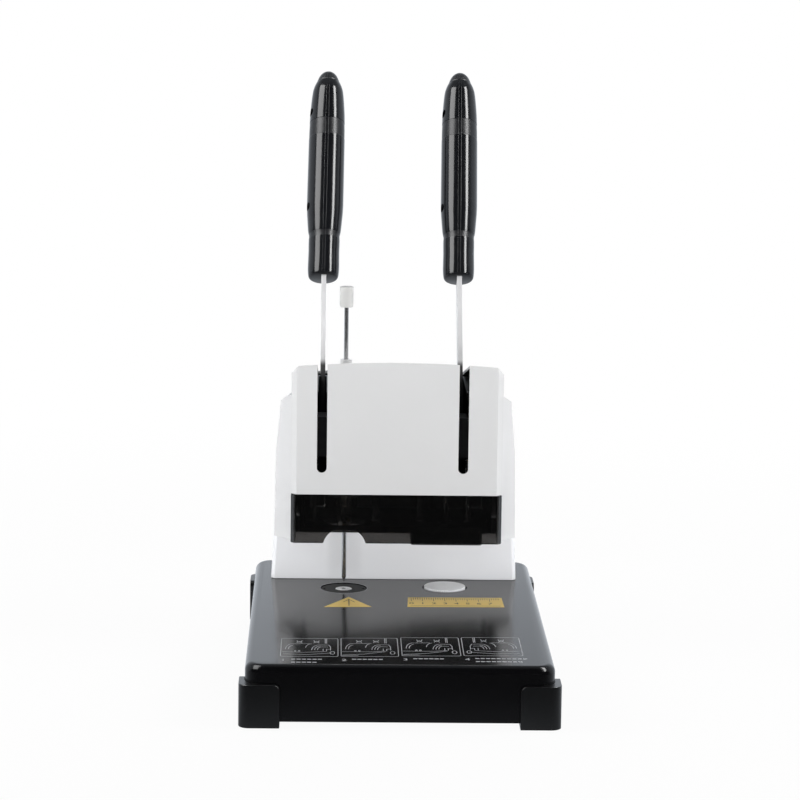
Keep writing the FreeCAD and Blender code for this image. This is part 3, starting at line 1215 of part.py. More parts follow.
make_base()
make_feet()
make_stations()
make_housing()
make_rear_cover()
make_skirt()
make_visor()
make_cheeks()
make_plates()
make_bushes()
make_fasteners()
make_return_springs()
cheek_face = "cheek_inner + cheek_thick + shaft_proud"
make_lever("press", "press_lever_side", "press_gear_side",
           ("-(%s)" % cheek_face, "press_bracket_side + bracket_thick / 2 + shaft_proud"))
make_lever("drill", "drill_lever_side", "drill_gear_side",
           ("drill_bracket_side - bracket_thick / 2 - shaft_proud", cheek_face))
make_press_carriage()
make_drill_carriage()
make_spindle()
make_needle()
make_transformer()
make_board()
make_inlet()
export_all()
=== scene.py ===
import json
import math
import bmesh
import bpy
import numpy as np
from mathutils import Matrix, Vector
from mathutils.bvhtree import BVHTree


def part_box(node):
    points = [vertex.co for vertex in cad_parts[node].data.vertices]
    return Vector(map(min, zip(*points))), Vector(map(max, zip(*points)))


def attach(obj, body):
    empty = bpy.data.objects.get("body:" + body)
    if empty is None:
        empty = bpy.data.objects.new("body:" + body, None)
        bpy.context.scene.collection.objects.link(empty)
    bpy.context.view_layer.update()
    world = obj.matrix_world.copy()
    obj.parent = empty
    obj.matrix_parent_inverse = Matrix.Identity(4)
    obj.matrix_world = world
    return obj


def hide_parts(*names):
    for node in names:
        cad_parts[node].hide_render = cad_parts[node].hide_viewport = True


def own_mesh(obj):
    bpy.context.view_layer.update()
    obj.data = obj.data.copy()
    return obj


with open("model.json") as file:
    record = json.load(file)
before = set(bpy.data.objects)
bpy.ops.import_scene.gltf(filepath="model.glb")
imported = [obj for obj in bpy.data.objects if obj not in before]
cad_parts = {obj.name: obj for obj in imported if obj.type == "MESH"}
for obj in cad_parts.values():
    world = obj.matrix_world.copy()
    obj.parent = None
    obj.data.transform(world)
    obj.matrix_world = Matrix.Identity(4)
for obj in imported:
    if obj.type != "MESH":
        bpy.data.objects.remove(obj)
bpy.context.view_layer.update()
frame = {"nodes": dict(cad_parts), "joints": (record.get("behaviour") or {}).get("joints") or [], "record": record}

mm = 0.001
joints = {joint["name"]: joint for joint in frame["joints"]}
print("frame loaded:", len(frame["nodes"]), "nodes")


# mesh helpers: every shape is worked out as whole arrays in metres, in the row frame

def boxOf(node):
    # a CAD node's lowest and highest corners
    low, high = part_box(node)
    return np.array(low), np.array(high)


def gridFaces(rows, columns, wrapRows=False, wrapColumns=False):
    # Quads between neighbouring rows and columns of a grid of points, numbered row by row.
    row = np.arange(rows if wrapRows else rows - 1)[:, None]
    column = np.arange(columns if wrapColumns else columns - 1)[None, :]
    nextRow = (row + 1) % rows
    nextColumn = (column + 1) % columns
    corners = (row * columns + column, row * columns + nextColumn,
               nextRow * columns + nextColumn, nextRow * columns + column)
    return np.stack(np.broadcast_arrays(*corners), axis=-1).reshape(-1, 4)


def smoothed(mesh, creaseAngle):
    # smooth shading, but sharp along edges that turn by more than the crease angle
    mesh.shade_smooth()
    mesh.set_sharp_from_angle(angle=math.radians(creaseAngle))
    return mesh


def makeMesh(name, points, faces, creaseAngle=35.0):
    # a smooth mesh out of points and the faces that number them
    mesh = bpy.data.meshes.new(name)
    mesh.from_pydata(np.asarray(points, float).reshape(-1, 3).tolist(), [], [list(face) for face in faces])
    mesh.validate()
    return smoothed(mesh, creaseAngle)


def makePiece(name, mesh, body, material, stands=()):
    # An object at the origin that rides on a body, and stands for the CAD nodes named.
    piece = bpy.data.objects.new(name, mesh)
    bpy.context.scene.collection.objects.link(piece)
    piece.data.materials.clear()
    piece.data.materials.append(material)
    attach(piece, body)
    if stands:
        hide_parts(*stands)
    return piece


def joinParts(parts):
    # One list of points and one of faces out of several (points, faces) pairs.
    points, faces, count = [], [], 0
    for partPoints, partFaces in parts:
        partPoints = np.asarray(partPoints, float).reshape(-1, 3)
        faces.extend([[index + count for index in face] for face in partFaces])
        points.append(partPoints)
        count += len(partPoints)
    return np.concatenate(points), faces


def roundCorners(corners, steps=6):
    # A profile through (radius, height, rounding) corners, each rounded by a quadratic curve that
    # starts and ends the rounding's length before and after the corner.
    spots = np.array([corner[:2] for corner in corners], float)
    path = [spots[:1]]
    for index in range(1, len(spots) - 1):
        spot, rounding = spots[index], corners[index][2]
        if rounding <= 0:
            path.append(spot[None])
            continue
        back, ahead = spots[index - 1] - spot, spots[index + 1] - spot
        start = spot + back * min(rounding / np.linalg.norm(back), 0.5)
        end = spot + ahead * min(rounding / np.linalg.norm(ahead), 0.5)
        share = np.linspace(0, 1, steps)[:, None]
        path.append((1 - share) ** 2 * start + 2 * share * (1 - share) * spot + share ** 2 * end)
    path.append(spots[-1:])
    return np.concatenate(path)


def fan(ring, pole, turned=False):
    # triangles from each run of a closed ring of points to one pole
    following = np.roll(ring, -1)
    pair = (ring, following) if turned else (following, ring)
    return np.stack([*pair, np.full(len(ring), pole)], axis=1).tolist()


def revolve(profile, centre, turns=64, flutes=0, fluteDepth=0.0, fluteSpan=(0, 0)):
    # A profile of (radius, height) pairs carried round the vertical through centre. Its first and
    # last point lie on the axis and become the two poles. Flutes shorten the radius by a cosine of the
    # angle, over the profile points of fluteSpan.
    profile = np.asarray(profile, float)
    angle = np.linspace(0, 2 * np.pi, turns, endpoint=False)
    ring = profile[1:-1]
    radius = np.repeat(ring[:, :1], turns, axis=1)
    if flutes:
        inside = (np.arange(len(ring)) >= fluteSpan[0]) & (np.arange(len(ring)) < fluteSpan[1])
        radius = radius - inside[:, None] * fluteDepth * (0.5 - 0.5 * np.cos(flutes * angle))[None, :]
    height = np.repeat(ring[:, 1:], turns, axis=1)
    points = np.stack([radius * np.cos(angle), radius * np.sin(angle), height], axis=-1).reshape(-1, 3)
    poles = np.array([[0, 0, profile[0, 1]], [0, 0, profile[-1, 1]]])
    around, count = np.arange(turns), len(points)
    faces = gridFaces(len(ring), turns, wrapColumns=True).tolist()
    faces += fan(around, count) + fan(around + count - turns, count + 1, turned=True)
    return np.concatenate([points, poles]) + np.asarray(centre), faces


def turnedOutwards(mesh):
    # every face of a closed mesh turned to look outwards
    shell = bmesh.new()
    shell.from_mesh(mesh)
    bmesh.ops.recalc_face_normals(shell, faces=shell.faces)
    shell.to_mesh(mesh)
    shell.free()
    return mesh


def softCopy(node, body, material, edge=0.6, segments=3, dissolve=0.6, limit=32.0, flat=False):
    # A CAD node's mesh, merged into clean faces, with a small round on every sharp edge. A clear sheet
    # is left flat, as smoothed corners would bend what shows through it.
    mesh = frame["nodes"][node].data.copy()
    shell = bmesh.new()
    shell.from_mesh(mesh)
    bmesh.ops.remove_doubles(shell, verts=shell.verts, dist=2e-6)
    bmesh.ops.dissolve_limit(shell, angle_limit=math.radians(dissolve), verts=shell.verts, edges=shell.edges)
    shell.to_mesh(mesh)
    shell.free()
    mesh.name = node + "_finished"
    if flat:
        mesh.shade_flat()
    else:
        smoothed(mesh, limit)
    piece = makePiece(node + "_finished", mesh, body, material, [node])
    bevel = piece.modifiers.new("edge", "BEVEL")
    bevel.width = edge * mm
    bevel.segments = segments
    bevel.limit_method = "ANGLE"
    bevel.angle_limit = math.radians(limit)
    bevel.harden_normals = not flat
    return piece


# shader helpers: what is given for an input is a socket to link from, or a plain value to set

def addNode(tree, kind, **settings):
    # a shader node of one kind, with its settings
    made = tree.nodes.new(kind)
    for name, setting in settings.items():
        setattr(made, name, setting)
    return made


def feed(tree, node, values):
    # a link or a plain value for each input, by its name or number
    for label, value in values.items():
        if isinstance(value, bpy.types.NodeSocket):
            tree.links.new(value, node.inputs[label])
        else:
            node.inputs[label].default_value = value
    return node


def maths(tree, operation, *values, clamp=False):
    # the operation on the values, kept between 0 and 1 where clamp is set
    made = addNode(tree, "ShaderNodeMath", operation=operation, use_clamp=clamp)
    return feed(tree, made, dict(enumerate(values))).outputs[0]


def ramp(tree, value, start, end, low=0.0, high=1.0, kind="SMOOTHSTEP"):
    # rises from low to high while the value goes from start to end
    made = addNode(tree, "ShaderNodeMapRange", interpolation_type=kind)
    limits = {"From Min": start, "From Max": end, "To Min": low, "To Max": high}
    return feed(tree, made, {"Value": value, **limits}).outputs["Result"]


def mixed(tree, share, first, second, kind="RGBA"):
    # (1 - share) * first + share * second, of two colours or two numbers
    made = addNode(tree, "ShaderNodeMix", data_type=kind)
    return feed(tree, made, {"Factor": share, "A": first, "B": second}).outputs["Result"]


def noise(tree, vector, scale, detail, roughness=0.5):
    # soft noise of so many waves to the metre, with finer waves on it by the steps of detail
    made = addNode(tree, "ShaderNodeTexNoise")
    given = {"Vector": vector, "Scale": scale, "Detail": detail, "Roughness": roughness}
    return feed(tree, made, given).outputs["Fac"]


def partsOf(tree, vector):
    # the X, Y and Z of a vector
    return feed(tree, addNode(tree, "ShaderNodeSeparateXYZ"), {0: vector}).outputs


def shaderGroup(name, inputs, outputs):
    # an empty group: inputs with their first values, of numbers or vectors, and outputs of numbers
    tree = bpy.data.node_groups.new(name, "ShaderNodeTree")
    for label, start in inputs.items():
        kind = "NodeSocketFloat" if isinstance(start, float) else "NodeSocketVector"
        tree.interface.new_socket(name=label, in_out="INPUT", socket_type=kind).default_value = start
    for label in outputs:
        tree.interface.new_socket(name=label, in_out="OUTPUT", socket_type="NodeSocketFloat")
    return tree, addNode(tree, "NodeGroupInput").outputs, addNode(tree, "NodeGroupOutput")


# shader groups: effects that several finishes share

pattern = {"cellSoftness": 0.6, "fineShare": 0.6, "grainClouds": 14.0, "lineRough": 0.7, "lineClouds": 45.0,
           "cloudShare": 0.35, "wearFrom": 0.53, "wearTo": 0.62, "wearPatches": 90.0, "wearGain": 4.0,
           "rubGain": 3.0, "rubLift": 0.02, "rubMost": 0.9, "bumpDeep": 0.2}


def buildGrain():
    # Fine leathery grain of a moulding: cells and fine noise for the height, slow noise for the tint.
    tree, given, result = shaderGroup("mouldedGrain", {"Vector": (0, 0, 0), "Scale": 900.0},
                                      ("Tint", "Height"))
    vector, scale = given["Vector"], given["Scale"]
    cells = addNode(tree, "ShaderNodeTexVoronoi", feature="SMOOTH_F1")
    feed(tree, cells, {"Vector": vector, "Scale": scale, "Smoothness": pattern["cellSoftness"]})
    height = maths(tree, "MULTIPLY_ADD", noise(tree, vector, scale, 3.0), pattern["fineShare"],
                   cells.outputs["Distance"])
    feed(tree, result, {"Tint": noise(tree, vector, pattern["grainClouds"], 4.0), "Height": height})
    return tree


def buildBrushing():
    # Fine lines of a ground or brushed metal: noise squeezed along one axis, and clouds in the tint.
    tree, given, result = shaderGroup("brushedLines", {"Vector": (0, 0, 0), "Stretch": (1, 1, 1)},
                                      ("Tint", "Height"))
    squeeze = addNode(tree, "ShaderNodeVectorMath", operation="MULTIPLY")
    feed(tree, squeeze, {0: given["Vector"], 1: given["Stretch"]})
    lines = noise(tree, squeeze.outputs[0], 1.0, 4.0, pattern["lineRough"])
    clouds = noise(tree, given["Vector"], pattern["lineClouds"], 3.0)
    tint = maths(tree, "MULTIPLY_ADD", clouds, pattern["cloudShare"], lines)
    feed(tree, result, {"Tint": tint, "Height": lines})
    return tree


def buildWear():
    # Where an edge is rubbed: the convex part of the surface's pointiness, broken up by noise.
    tree, given, result = shaderGroup("edgeWear", {"Vector": (0, 0, 0), "Amount": 0.5}, ("Mask",))
    shape = addNode(tree, "ShaderNodeNewGeometry")
    convex = ramp(tree, shape.outputs["Pointiness"], pattern["wearFrom"], pattern["wearTo"])
    broken = maths(tree, "MULTIPLY", convex, noise(tree, given["Vector"], pattern["wearPatches"], 5.0))
    feed(tree, result, {"Mask": maths(tree, "MULTIPLY", broken, given["Amount"], clamp=True)})
    return tree


grainGroup, brushGroup, wearGroup = buildGrain(), buildBrushing(), buildWear()


def look(tint, other, rough, spread, bump, **more):
    # one finish: two tints that its pattern mixes, its roughness and the spread of it, and its bump
    return {"tint": tint, "other": other, "rough": rough, "spread": spread, "bump": bump, **more}


# each finish, with the scale of its grain or lines and what else it has
finishes = {
    "basePaint": look((0.0020, 0.0020, 0.0023), (0.0028, 0.0028, 0.0033), 0.165, 0.03, 0.02, grain=1500,
                      ior=1.3),
    "footPlastic": look((0.0018, 0.0019, 0.0022), (0.0027, 0.0028, 0.0032), 0.3, 0.06, 0.10, grain=1100,
                        wear=0.03),
    "framePaint": look((0.0040, 0.0040, 0.0042), (0.0060, 0.0060, 0.0062), 0.42, 0.08, 0.20, grain=900,
                       wear=0.06),
    # painted shade: near-black for the housing's inner faces, where light hardly reaches
    "insidePaintedShade": look((0.0022, 0.0022, 0.0022), (0.0032, 0.0032, 0.0032), 0.6, 0.08, 0.20, grain=900),
    "carriageBlack": look((0.010, 0.010, 0.011), (0.018, 0.018, 0.020), 0.36, 0.10, 0.10,
                          lines=(200, 1500, 1500), metal=0.5, wear=0.12),
    "housingPlastic": look((0.638, 0.642, 0.648), (0.666, 0.668, 0.672), 0.42, 0.06, 0.10, grain=1300),
    "columnPlastic": look((0.68, 0.682, 0.69), (0.71, 0.712, 0.72), 0.4, 0.06, 0.10, grain=1300),
    # painted light: the column plastic made paler and cooler on the skirt, which stands in the shade under the
    # housing
    "skirtPlasticPaintedLight": look((0.86, 0.87, 0.90), (0.89, 0.90, 0.92), 0.4, 0.06, 0.10, grain=1300),
    "gripPlastic": look((0.006, 0.0065, 0.008), (0.008, 0.0085, 0.010), 0.13, 0.04, 0.006, grain=700,
                        ior=1.36),
    "blackPlastic": look((0.010, 0.010, 0.011), (0.014, 0.014, 0.015), 0.45, 0.1, 0.15, grain=1200),
    "ringBlack": look((0.002, 0.002, 0.002), (0.004, 0.004, 0.004), 0.5, 0.08, 0.10, grain=1600, wear=0.03,
                      ior=1.22),
    "knobPlastic": look((0.56, 0.56, 0.55), (0.60, 0.60, 0.59), 0.42, 0.05, 0.03, grain=900),
    "padNylon": look((0.82, 0.83, 0.85), (0.88, 0.885, 0.89), 0.40, 0.08, 0.12, grain=800),
    "markPaint": look((0.38, 0.39, 0.41), (0.48, 0.49, 0.51), 0.5, 0.1, 0.1, grain=2600),
    "labelYellow": look((0.62, 0.43, 0.085), (0.70, 0.50, 0.115), 0.42, 0.08, 0.06, grain=1800),
    # the labels' ink, also used for the painted shade of the die's centre hole
    "labelInkAndPaintedShade": look((0.020, 0.018, 0.014), (0.034, 0.031, 0.026), 0.5, 0.1, 0.06, grain=2600),
    "collarPlastic": look((0.80, 0.80, 0.80), (0.84, 0.84, 0.84), 0.3, 0.06, 0.05, grain=900),
    "insulatorBoard": look((0.42, 0.31, 0.17), (0.55, 0.43, 0.27), 0.7, 0.15, 0.5, grain=500),
    "circuitBoard": look((0.008, 0.09, 0.03), (0.012, 0.12, 0.045), 0.35, 0.1, 0.1, grain=600),
    "beltRubber": look((0.010, 0.010, 0.010), (0.016, 0.016, 0.016), 0.65, 0.1, 0.4, grain=900),
    "lamination": look((0.05, 0.05, 0.055), (0.10, 0.10, 0.11), 0.4, 0.15, 0.8, lines=(20, 20, 2600),
                       metal=0.6),
    "castSeat": look((0.05, 0.05, 0.055), (0.09, 0.09, 0.095), 0.6, 0.15, 0.7, grain=380, metal=0.5),
    "zincSheet": look((0.42, 0.43, 0.44), (0.56, 0.57, 0.59), 0.38, 0.15, 0.15, lines=(900, 900, 60),
                      metal=0.9),
    "leverSteel": look((0.54, 0.54, 0.55), (0.62, 0.62, 0.63), 0.42, 0.08, 0.08, lines=(1500, 60, 60),
                       metal=0.25),
    "polishedSteel": look((0.62, 0.62, 0.64), (0.74, 0.74, 0.75), 0.16, 0.08, 0.04, lines=(500, 500, 1800),
                          metal=1.0),
    "needleSteel": look((0.36, 0.36, 0.37), (0.46, 0.46, 0.46), 0.24, 0.06, 0.04, lines=(500, 500, 1800),
                        metal=0.9),
    "insertSteel": look((0.72, 0.72, 0.73), (0.84, 0.84, 0.84), 0.45, 0.1, 0.08, lines=(900, 900, 900),
                        metal=0.6),
    "dieSteel": look((0.42, 0.40, 0.38), (0.55, 0.53, 0.50), 0.25, 0.1, 0.08, lines=(900, 900, 900),
                     metal=1.0),
    "springSteel": look((0.50, 0.50, 0.52), (0.66, 0.66, 0.68), 0.22, 0.1, 0.05, lines=(1200, 1200, 200),
                        metal=1.0),
    "gearSteel": look((0.30, 0.30, 0.31), (0.44, 0.44, 0.45), 0.32, 0.15, 0.15, lines=(1800, 200, 200),
                      metal=1.0),
    "alloy": look((0.52, 0.52, 0.53), (0.66, 0.66, 0.67), 0.34, 0.15, 0.15, lines=(200, 1500, 1500),
                  metal=1.0),
    "bronze": look((0.40, 0.25, 0.10), (0.55, 0.37, 0.17), 0.35, 0.15, 0.2, grain=900, metal=1.0),
    "screwSteel": look((0.30, 0.30, 0.31), (0.45, 0.45, 0.46), 0.3, 0.12, 0.1, lines=(1200, 1200, 300),
                       metal=1.0),
    "motorCan": look((0.34, 0.34, 0.35), (0.46, 0.46, 0.47), 0.33, 0.1, 0.1, lines=(90, 90, 1800),
                     metal=1.0),
}


def newMaterial(name):
    # a material with its shader and the place on the object that its patterns read
    material = bpy.data.materials.new(name)
    material.use_nodes = True
    tree = material.node_tree
    place = addNode(tree, "ShaderNodeTexCoord").outputs["Object"]
    return material, tree, tree.nodes["Principled BSDF"], place


def useGroup(tree, group, **values):
    # the outputs of a shader group, placed with its own values
    return feed(tree, addNode(tree, "ShaderNodeGroup", node_tree=group), values).outputs


def makeFinish(name, given):
    # A material from its entry in finishes: pattern -> tint, roughness and bump; wear over it.
    material, tree, shader, place = newMaterial(name)
    if "lines" in given:
        marked = useGroup(tree, brushGroup, Vector=place, Stretch=given["lines"])
    else:
        marked = useGroup(tree, grainGroup, Vector=place, Scale=given["grain"])
    shade, rough, spread = marked["Tint"], given["rough"], given["spread"]
    colour = mixed(tree, shade, (*given["tint"], 1), (*given["other"], 1))
    if "wear" in given:
        rubbed = [min(channel * pattern["rubGain"] + pattern["rubLift"], pattern["rubMost"])
                  for channel in given["other"]]
        worn = useGroup(tree, wearGroup, Vector=place, Amount=given["wear"] * pattern["wearGain"])
        colour = mixed(tree, worn["Mask"], colour, (*rubbed, 1))
    bump = addNode(tree, "ShaderNodeBump")
    feed(tree, bump, {"Strength": given["bump"], "Distance": pattern["bumpDeep"] * mm,
                      "Height": marked["Height"]})
    feed(tree, shader, {"Base Color": colour, "Normal": bump.outputs["Normal"],
                        "Roughness": ramp(tree, shade, 0, 1, rough - spread, rough + spread, "LINEAR"),
                        "Metallic": given.get("metal", 0.0), "IOR": given.get("ior", 1.5)})
    return material


acrylic = {"tint": (0.078, 0.074, 0.070), "other": (0.090, 0.085, 0.080), "clearest": 0.03, "haziest": 0.10,
           "clouds": 60.0, "ior": 1.49}


def smokedAcrylic():
    # Dark clear plastic: tinted glass with faint haze in its roughness.
    material, tree, shader, place = newMaterial("smokedAcrylic")
    cloud = useGroup(tree, grainGroup, Vector=place, Scale=acrylic["clouds"])["Tint"]
    haze = ramp(tree, cloud, 0, 1, acrylic["clearest"], acrylic["haziest"], "LINEAR")
    feed(tree, shader, {"Base Color": mixed(tree, cloud, (*acrylic["tint"], 1), (*acrylic["other"], 1)),
                        "Roughness": haze, "Transmission Weight": 1.0, "IOR": acrylic["ior"]})
    return material


finish = {name: makeFinish(name, given) for name, given in finishes.items()}
finish["smokedAcrylic"] = smokedAcrylic()
print("finishes made:", len(finish))


# the camera, at the machine's front and a little left of its middle, looking slightly down

camera = {"place": (-0.0604, -2.7878, 0.7027), "down": 9.634, "right": 1.291, "roll": 0.759,
          "focalPixels": 3174.0, "frame": 800.0, "sensor": 36.0}


def placeCamera():
    # turned right and down from straight ahead, then rolled about its line of sight
    down, right, roll = (math.radians(camera[name]) for name in ("down", "right", "roll"))
    ahead = Vector((math.sin(right) * math.cos(down), math.cos(right) * math.cos(down), -math.sin(down)))
    level = Vector((math.cos(right), -math.sin(right), 0))
    upward = level.cross(ahead)
    across = math.cos(roll) * level + math.sin(roll) * upward
    raised = -math.sin(roll) * level + math.cos(roll) * upward
    data = bpy.data.cameras.new("camera")
    data.sensor_width = camera["sensor"]
    data.lens = camera["focalPixels"] / camera["frame"] * camera["sensor"]
    data.clip_end = 50
    seen = bpy.data.objects.new("camera", data)
    bpy.context.scene.collection.objects.link(seen)
    turn = Matrix((across, raised, -ahead)).transposed()
    seen.matrix_world = Matrix.Translation(camera["place"]) @ turn.to_4x4()
    bpy.context.scene.camera = seen


placeCamera()


# soft light: tall boxes high at the sides that only gloss shows, broad lamps for the matt light that
# gloss doesn't show, an even pale room, and dark behind the camera

studio = {"target": (0.0, 0.05, 0.30), "ambient": 0.15, "frontGloss": 0.02, "rearGloss": 1.0,
          "glossTint": (0.96, 1.02, 1.10), "behind": (-0.25, 0.20), "overhead": (0.45, 0.8),
          "overheadGloss": 0.4}
lamps = {
    "leftBox": {"towards": (-0.993, -0.327, 1.086), "away": 1.51, "size": (0.75, 1.6), "watts": 36,
                "along": (-0.17, 0.16, -0.106), "shows": "gloss"},
    "rightBox": {"towards": (1.011, -0.359, 1.059), "away": 1.51, "size": (0.30, 1.6), "watts": 36,
                 "along": (0.17, 0.16, -0.106), "shows": "gloss"},
    "frontFill": {"towards": (-0.03, -1.0, -0.045), "away": 2.2, "size": (1.8, 0.38), "watts": 32,
                  "along": (1, 0, 0), "shows": "matt"},
    "leftSide": {"towards": (-0.90, -0.12, 0.42), "away": 1.5, "size": (0.8, 0.8), "watts": 13,
                 "along": (0, 1, 0), "shows": "matt"},
    "rightSide": {"towards": (0.90, -0.12, 0.42), "away": 1.5, "size": (0.8, 0.8), "watts": 14,
                  "along": (0, 1, 0), "shows": "matt"},
    "rearFill": {"towards": (0.10, 1.0, 0.25), "away": 2.2, "size": (1.6, 0.6), "watts": 24,
                 "along": (1, 0, 0), "shows": "matt"},
}


def placeLamp(name, given):
    # a rectangle that faces the machine, with its first side along the direction given
    towards = Vector(given["towards"]).normalized()
    across = Vector(given["along"])
    across = (across - across.dot(towards) * towards).normalized()
    data = bpy.data.lights.new(name, "AREA")
    data.shape = "RECTANGLE"
    data.size, data.size_y = given["size"]
    data.energy = given["watts"]
    lamp = bpy.data.objects.new(name, data)
    bpy.context.scene.collection.objects.link(lamp)
    turn = Matrix((across, towards.cross(across), towards)).transposed()
    lamp.matrix_world = Matrix.Translation(Vector(studio["target"]) + towards * given["away"]) @ turn.to_4x4()
    lamp.visible_camera = False
    lamp.visible_glossy = given["shows"] == "gloss"
    lamp.visible_diffuse = given["shows"] == "matt"


for name, given in lamps.items():
    placeLamp(name, given)


def coolGloss(tree, path):
    # white, and a cool white where a gloss ray asks
    return mixed(tree, path["Is Glossy Ray"], (1, 1, 1, 1), (*studio["glossTint"], 1))


def lightRoom():
    # The room by kind of ray: white to the camera and through clear parts, and pale to matt surfaces.
    # To gloss it is a cool white behind the machine, dimmer overhead and dark in front.
    world = bpy.data.worlds.new("room")
    bpy.context.scene.world = world
    world.use_nodes = True
    tree = world.node_tree
    path = addNode(tree, "ShaderNodeLightPath").outputs
    way = partsOf(tree, addNode(tree, "ShaderNodeTexCoord").outputs["Generated"])
    behind = ramp(tree, way["Y"], *studio["behind"], studio["frontGloss"], studio["rearGloss"])
    overhead = ramp(tree, way["Z"], *studio["overhead"], 1.0, studio["overheadGloss"])
    gloss = maths(tree, "MULTIPLY", behind, overhead)
    unseen = mixed(tree, path["Is Glossy Ray"], studio["ambient"], gloss, "FLOAT")
    seen = maths(tree, "MAXIMUM", path["Is Camera Ray"], path["Is Transmission Ray"])
    feed(tree, tree.nodes["Background"], {"Strength": mixed(tree, seen, unseen, 1.0, "FLOAT"),
                                          "Color": coolGloss(tree, path)})


lightRoom()
bpy.context.scene.view_settings.view_transform = "Standard"

floor = {"half": 6.0, "tint": (0.86, 0.86, 0.86), "rough": 0.9, "seenWhite": 0.94, "whiteFrom": 0.45,
         "whiteTo": 1.3, "nearGloss": 0.02, "ahead": (-0.45, 0.0)}


def layFloor():
    # A pale floor with the machine's soft shadow left in it. It glows white to the camera, wholly from
    # some way off, and glows to gloss as the room does: dark in front and white behind.
    half = floor["half"]
    corners = [[-half, -half, 0], [half, -half, 0], [half, half, 0], [-half, half, 0]]
    ground = bpy.data.objects.new("floor", makeMesh("floor", corners, [[0, 1, 2, 3]]))
    bpy.context.scene.collection.objects.link(ground)
    material, tree, shader, place = newMaterial("paleFloor")
    feed(tree, shader, {"Base Color": (*floor["tint"], 1), "Roughness": floor["rough"]})
    path = addNode(tree, "ShaderNodeLightPath").outputs
    ahead = ramp(tree, partsOf(tree, place)["Y"], *floor["ahead"], floor["nearGloss"], studio["rearGloss"])
    strength = mixed(tree, path["Is Camera Ray"], ahead, 1.0, "FLOAT")
    glow = addNode(tree, "ShaderNodeEmission")
    feed(tree, glow, {"Color": coolGloss(tree, path), "Strength": strength})
    away = feed(tree, addNode(tree, "ShaderNodeVectorMath", operation="LENGTH"), {0: place}).outputs["Value"]
    white = ramp(tree, away, floor["whiteFrom"], floor["whiteTo"], floor["seenWhite"], 1.0)
    seen = maths(tree, "MAXIMUM", path["Is Camera Ray"], path["Is Glossy Ray"])
    share = maths(tree, "MULTIPLY", seen, white)
    blend = addNode(tree, "ShaderNodeMixShader")
    feed(tree, blend, {"Fac": share, 1: shader.outputs[0], 2: glow.outputs[0]})
    feed(tree, tree.nodes["Material Output"], {"Surface": blend.outputs[0]})
    ground.data.materials.append(material)


layFloor()
print("camera, light and floor placed")


# the casing: the CAD shells with their edges eased. Each has a finish, a slot and its edges' round

casing = {
    "base_shell": ("basePaint", "base_paint", 1.2), "column_skirt": ("skirtPlasticPaintedLight", "column_plastic", 0.8),
    "rear_cover": ("columnPlastic", "column_plastic", 1.0),
    "front_housing": ("housingPlastic", "housing_plastic", 0.8),
    **{"foot_" + corner: ("footPlastic", "foot_plastic", 0.8)
       for corner in ("front_left", "front_right", "rear_left", "rear_right")},
    "visor": ("smokedAcrylic", "visor_plastic", 0.8), "drill_guard": ("blackPlastic", "black_plastic", 0.6),
    "lower_die_ring": ("ringBlack", "ring_black", 0.3), "lower_die_insert": ("insertSteel", "die_steel", 0.3),
    "power_inlet": ("blackPlastic", "black_plastic", 0.4),
}
cased = {node: softCopy(node, "chassis", finish[finishName], edge, flat=node == "visor")
         for node, (finishName, slot, edge) in casing.items()}

# the cover's top falls away behind the housing: a shear by the distance behind its start
fall = {"above": 212.0, "from": 42.5, "slope": 0.175}
cover = cased["rear_cover"].data
spots = np.empty(len(cover.vertices) * 3)
cover.vertices.foreach_get("co", spots)
spots = spots.reshape(-1, 3)
behind = np.clip(spots[:, 1] - fall["from"] * mm, 0, None) * (spots[:, 2] > fall["above"] * mm)
spots[:, 2] -= fall["slope"] * behind
cover.vertices.foreach_set("co", spots.reshape(-1))


def secondFinish(piece, material, chosen):
    # the faces that are chosen, one truth for each face, take a second material
    piece.data.materials.append(material)
    piece.data.polygons.foreach_set("material_index", np.asarray(chosen, np.int32))


def faceMiddles(mesh):
    # each face's middle and the direction that it looks in
    middles, normals = np.empty(len(mesh.polygons) * 3), np.empty(len(mesh.polygons) * 3)
    mesh.polygons.foreach_get("center", middles)
    mesh.polygons.foreach_get("normal", normals)
    return middles.reshape(-1, 3), normals.reshape(-1, 3)


def insideFaces(mesh, least=4, off=0.3):
    # a face looks into a hollow where, from just off it, the mesh itself stands in the way of a ray in
    # at least so many of the six main directions
    tree = BVHTree.FromPolygons([point.co for point in mesh.vertices],
                                [face.vertices for face in mesh.polygons])
    ways = [Vector(way) for way in ((1, 0, 0), (-1, 0, 0), (0, 1, 0), (0, -1, 0), (0, 0, 1), (0, 0, -1))]
    middles, normals = faceMiddles(mesh)
    return [sum(tree.ray_cast(Vector(spot), way)[0] is not None for way in ways) >= least
            for spot in middles + normals * off * mm]


housing = cased["front_housing"]
# painted shade: the housing's faces that look into its hollow take the near-black inside finish, for the shade in
# there
secondFinish(housing, finish["insidePaintedShade"], insideFaces(housing.data))

inlet = {"pinSides": (-68.0, -61.0, -54.0), "pinUps": (23.5, 27.5, 23.5), "pinReach": 1.7}
middles = faceMiddles(cased["power_inlet"].data)[0]
pinned = np.zeros(len(middles), bool)
for side, up in zip(inlet["pinSides"], inlet["pinUps"]):
    pinned |= np.hypot(middles[:, 0] - side * mm, middles[:, 2] - up * mm) < inlet["pinReach"] * mm
secondFinish(cased["power_inlet"], finish["polishedSteel"], pinned)
softCopy("power_rocker", "power_rocker", finish["blackPlastic"], 0.3)
print("casing finished")


# hand grips: two moulded halves along each leaning bar

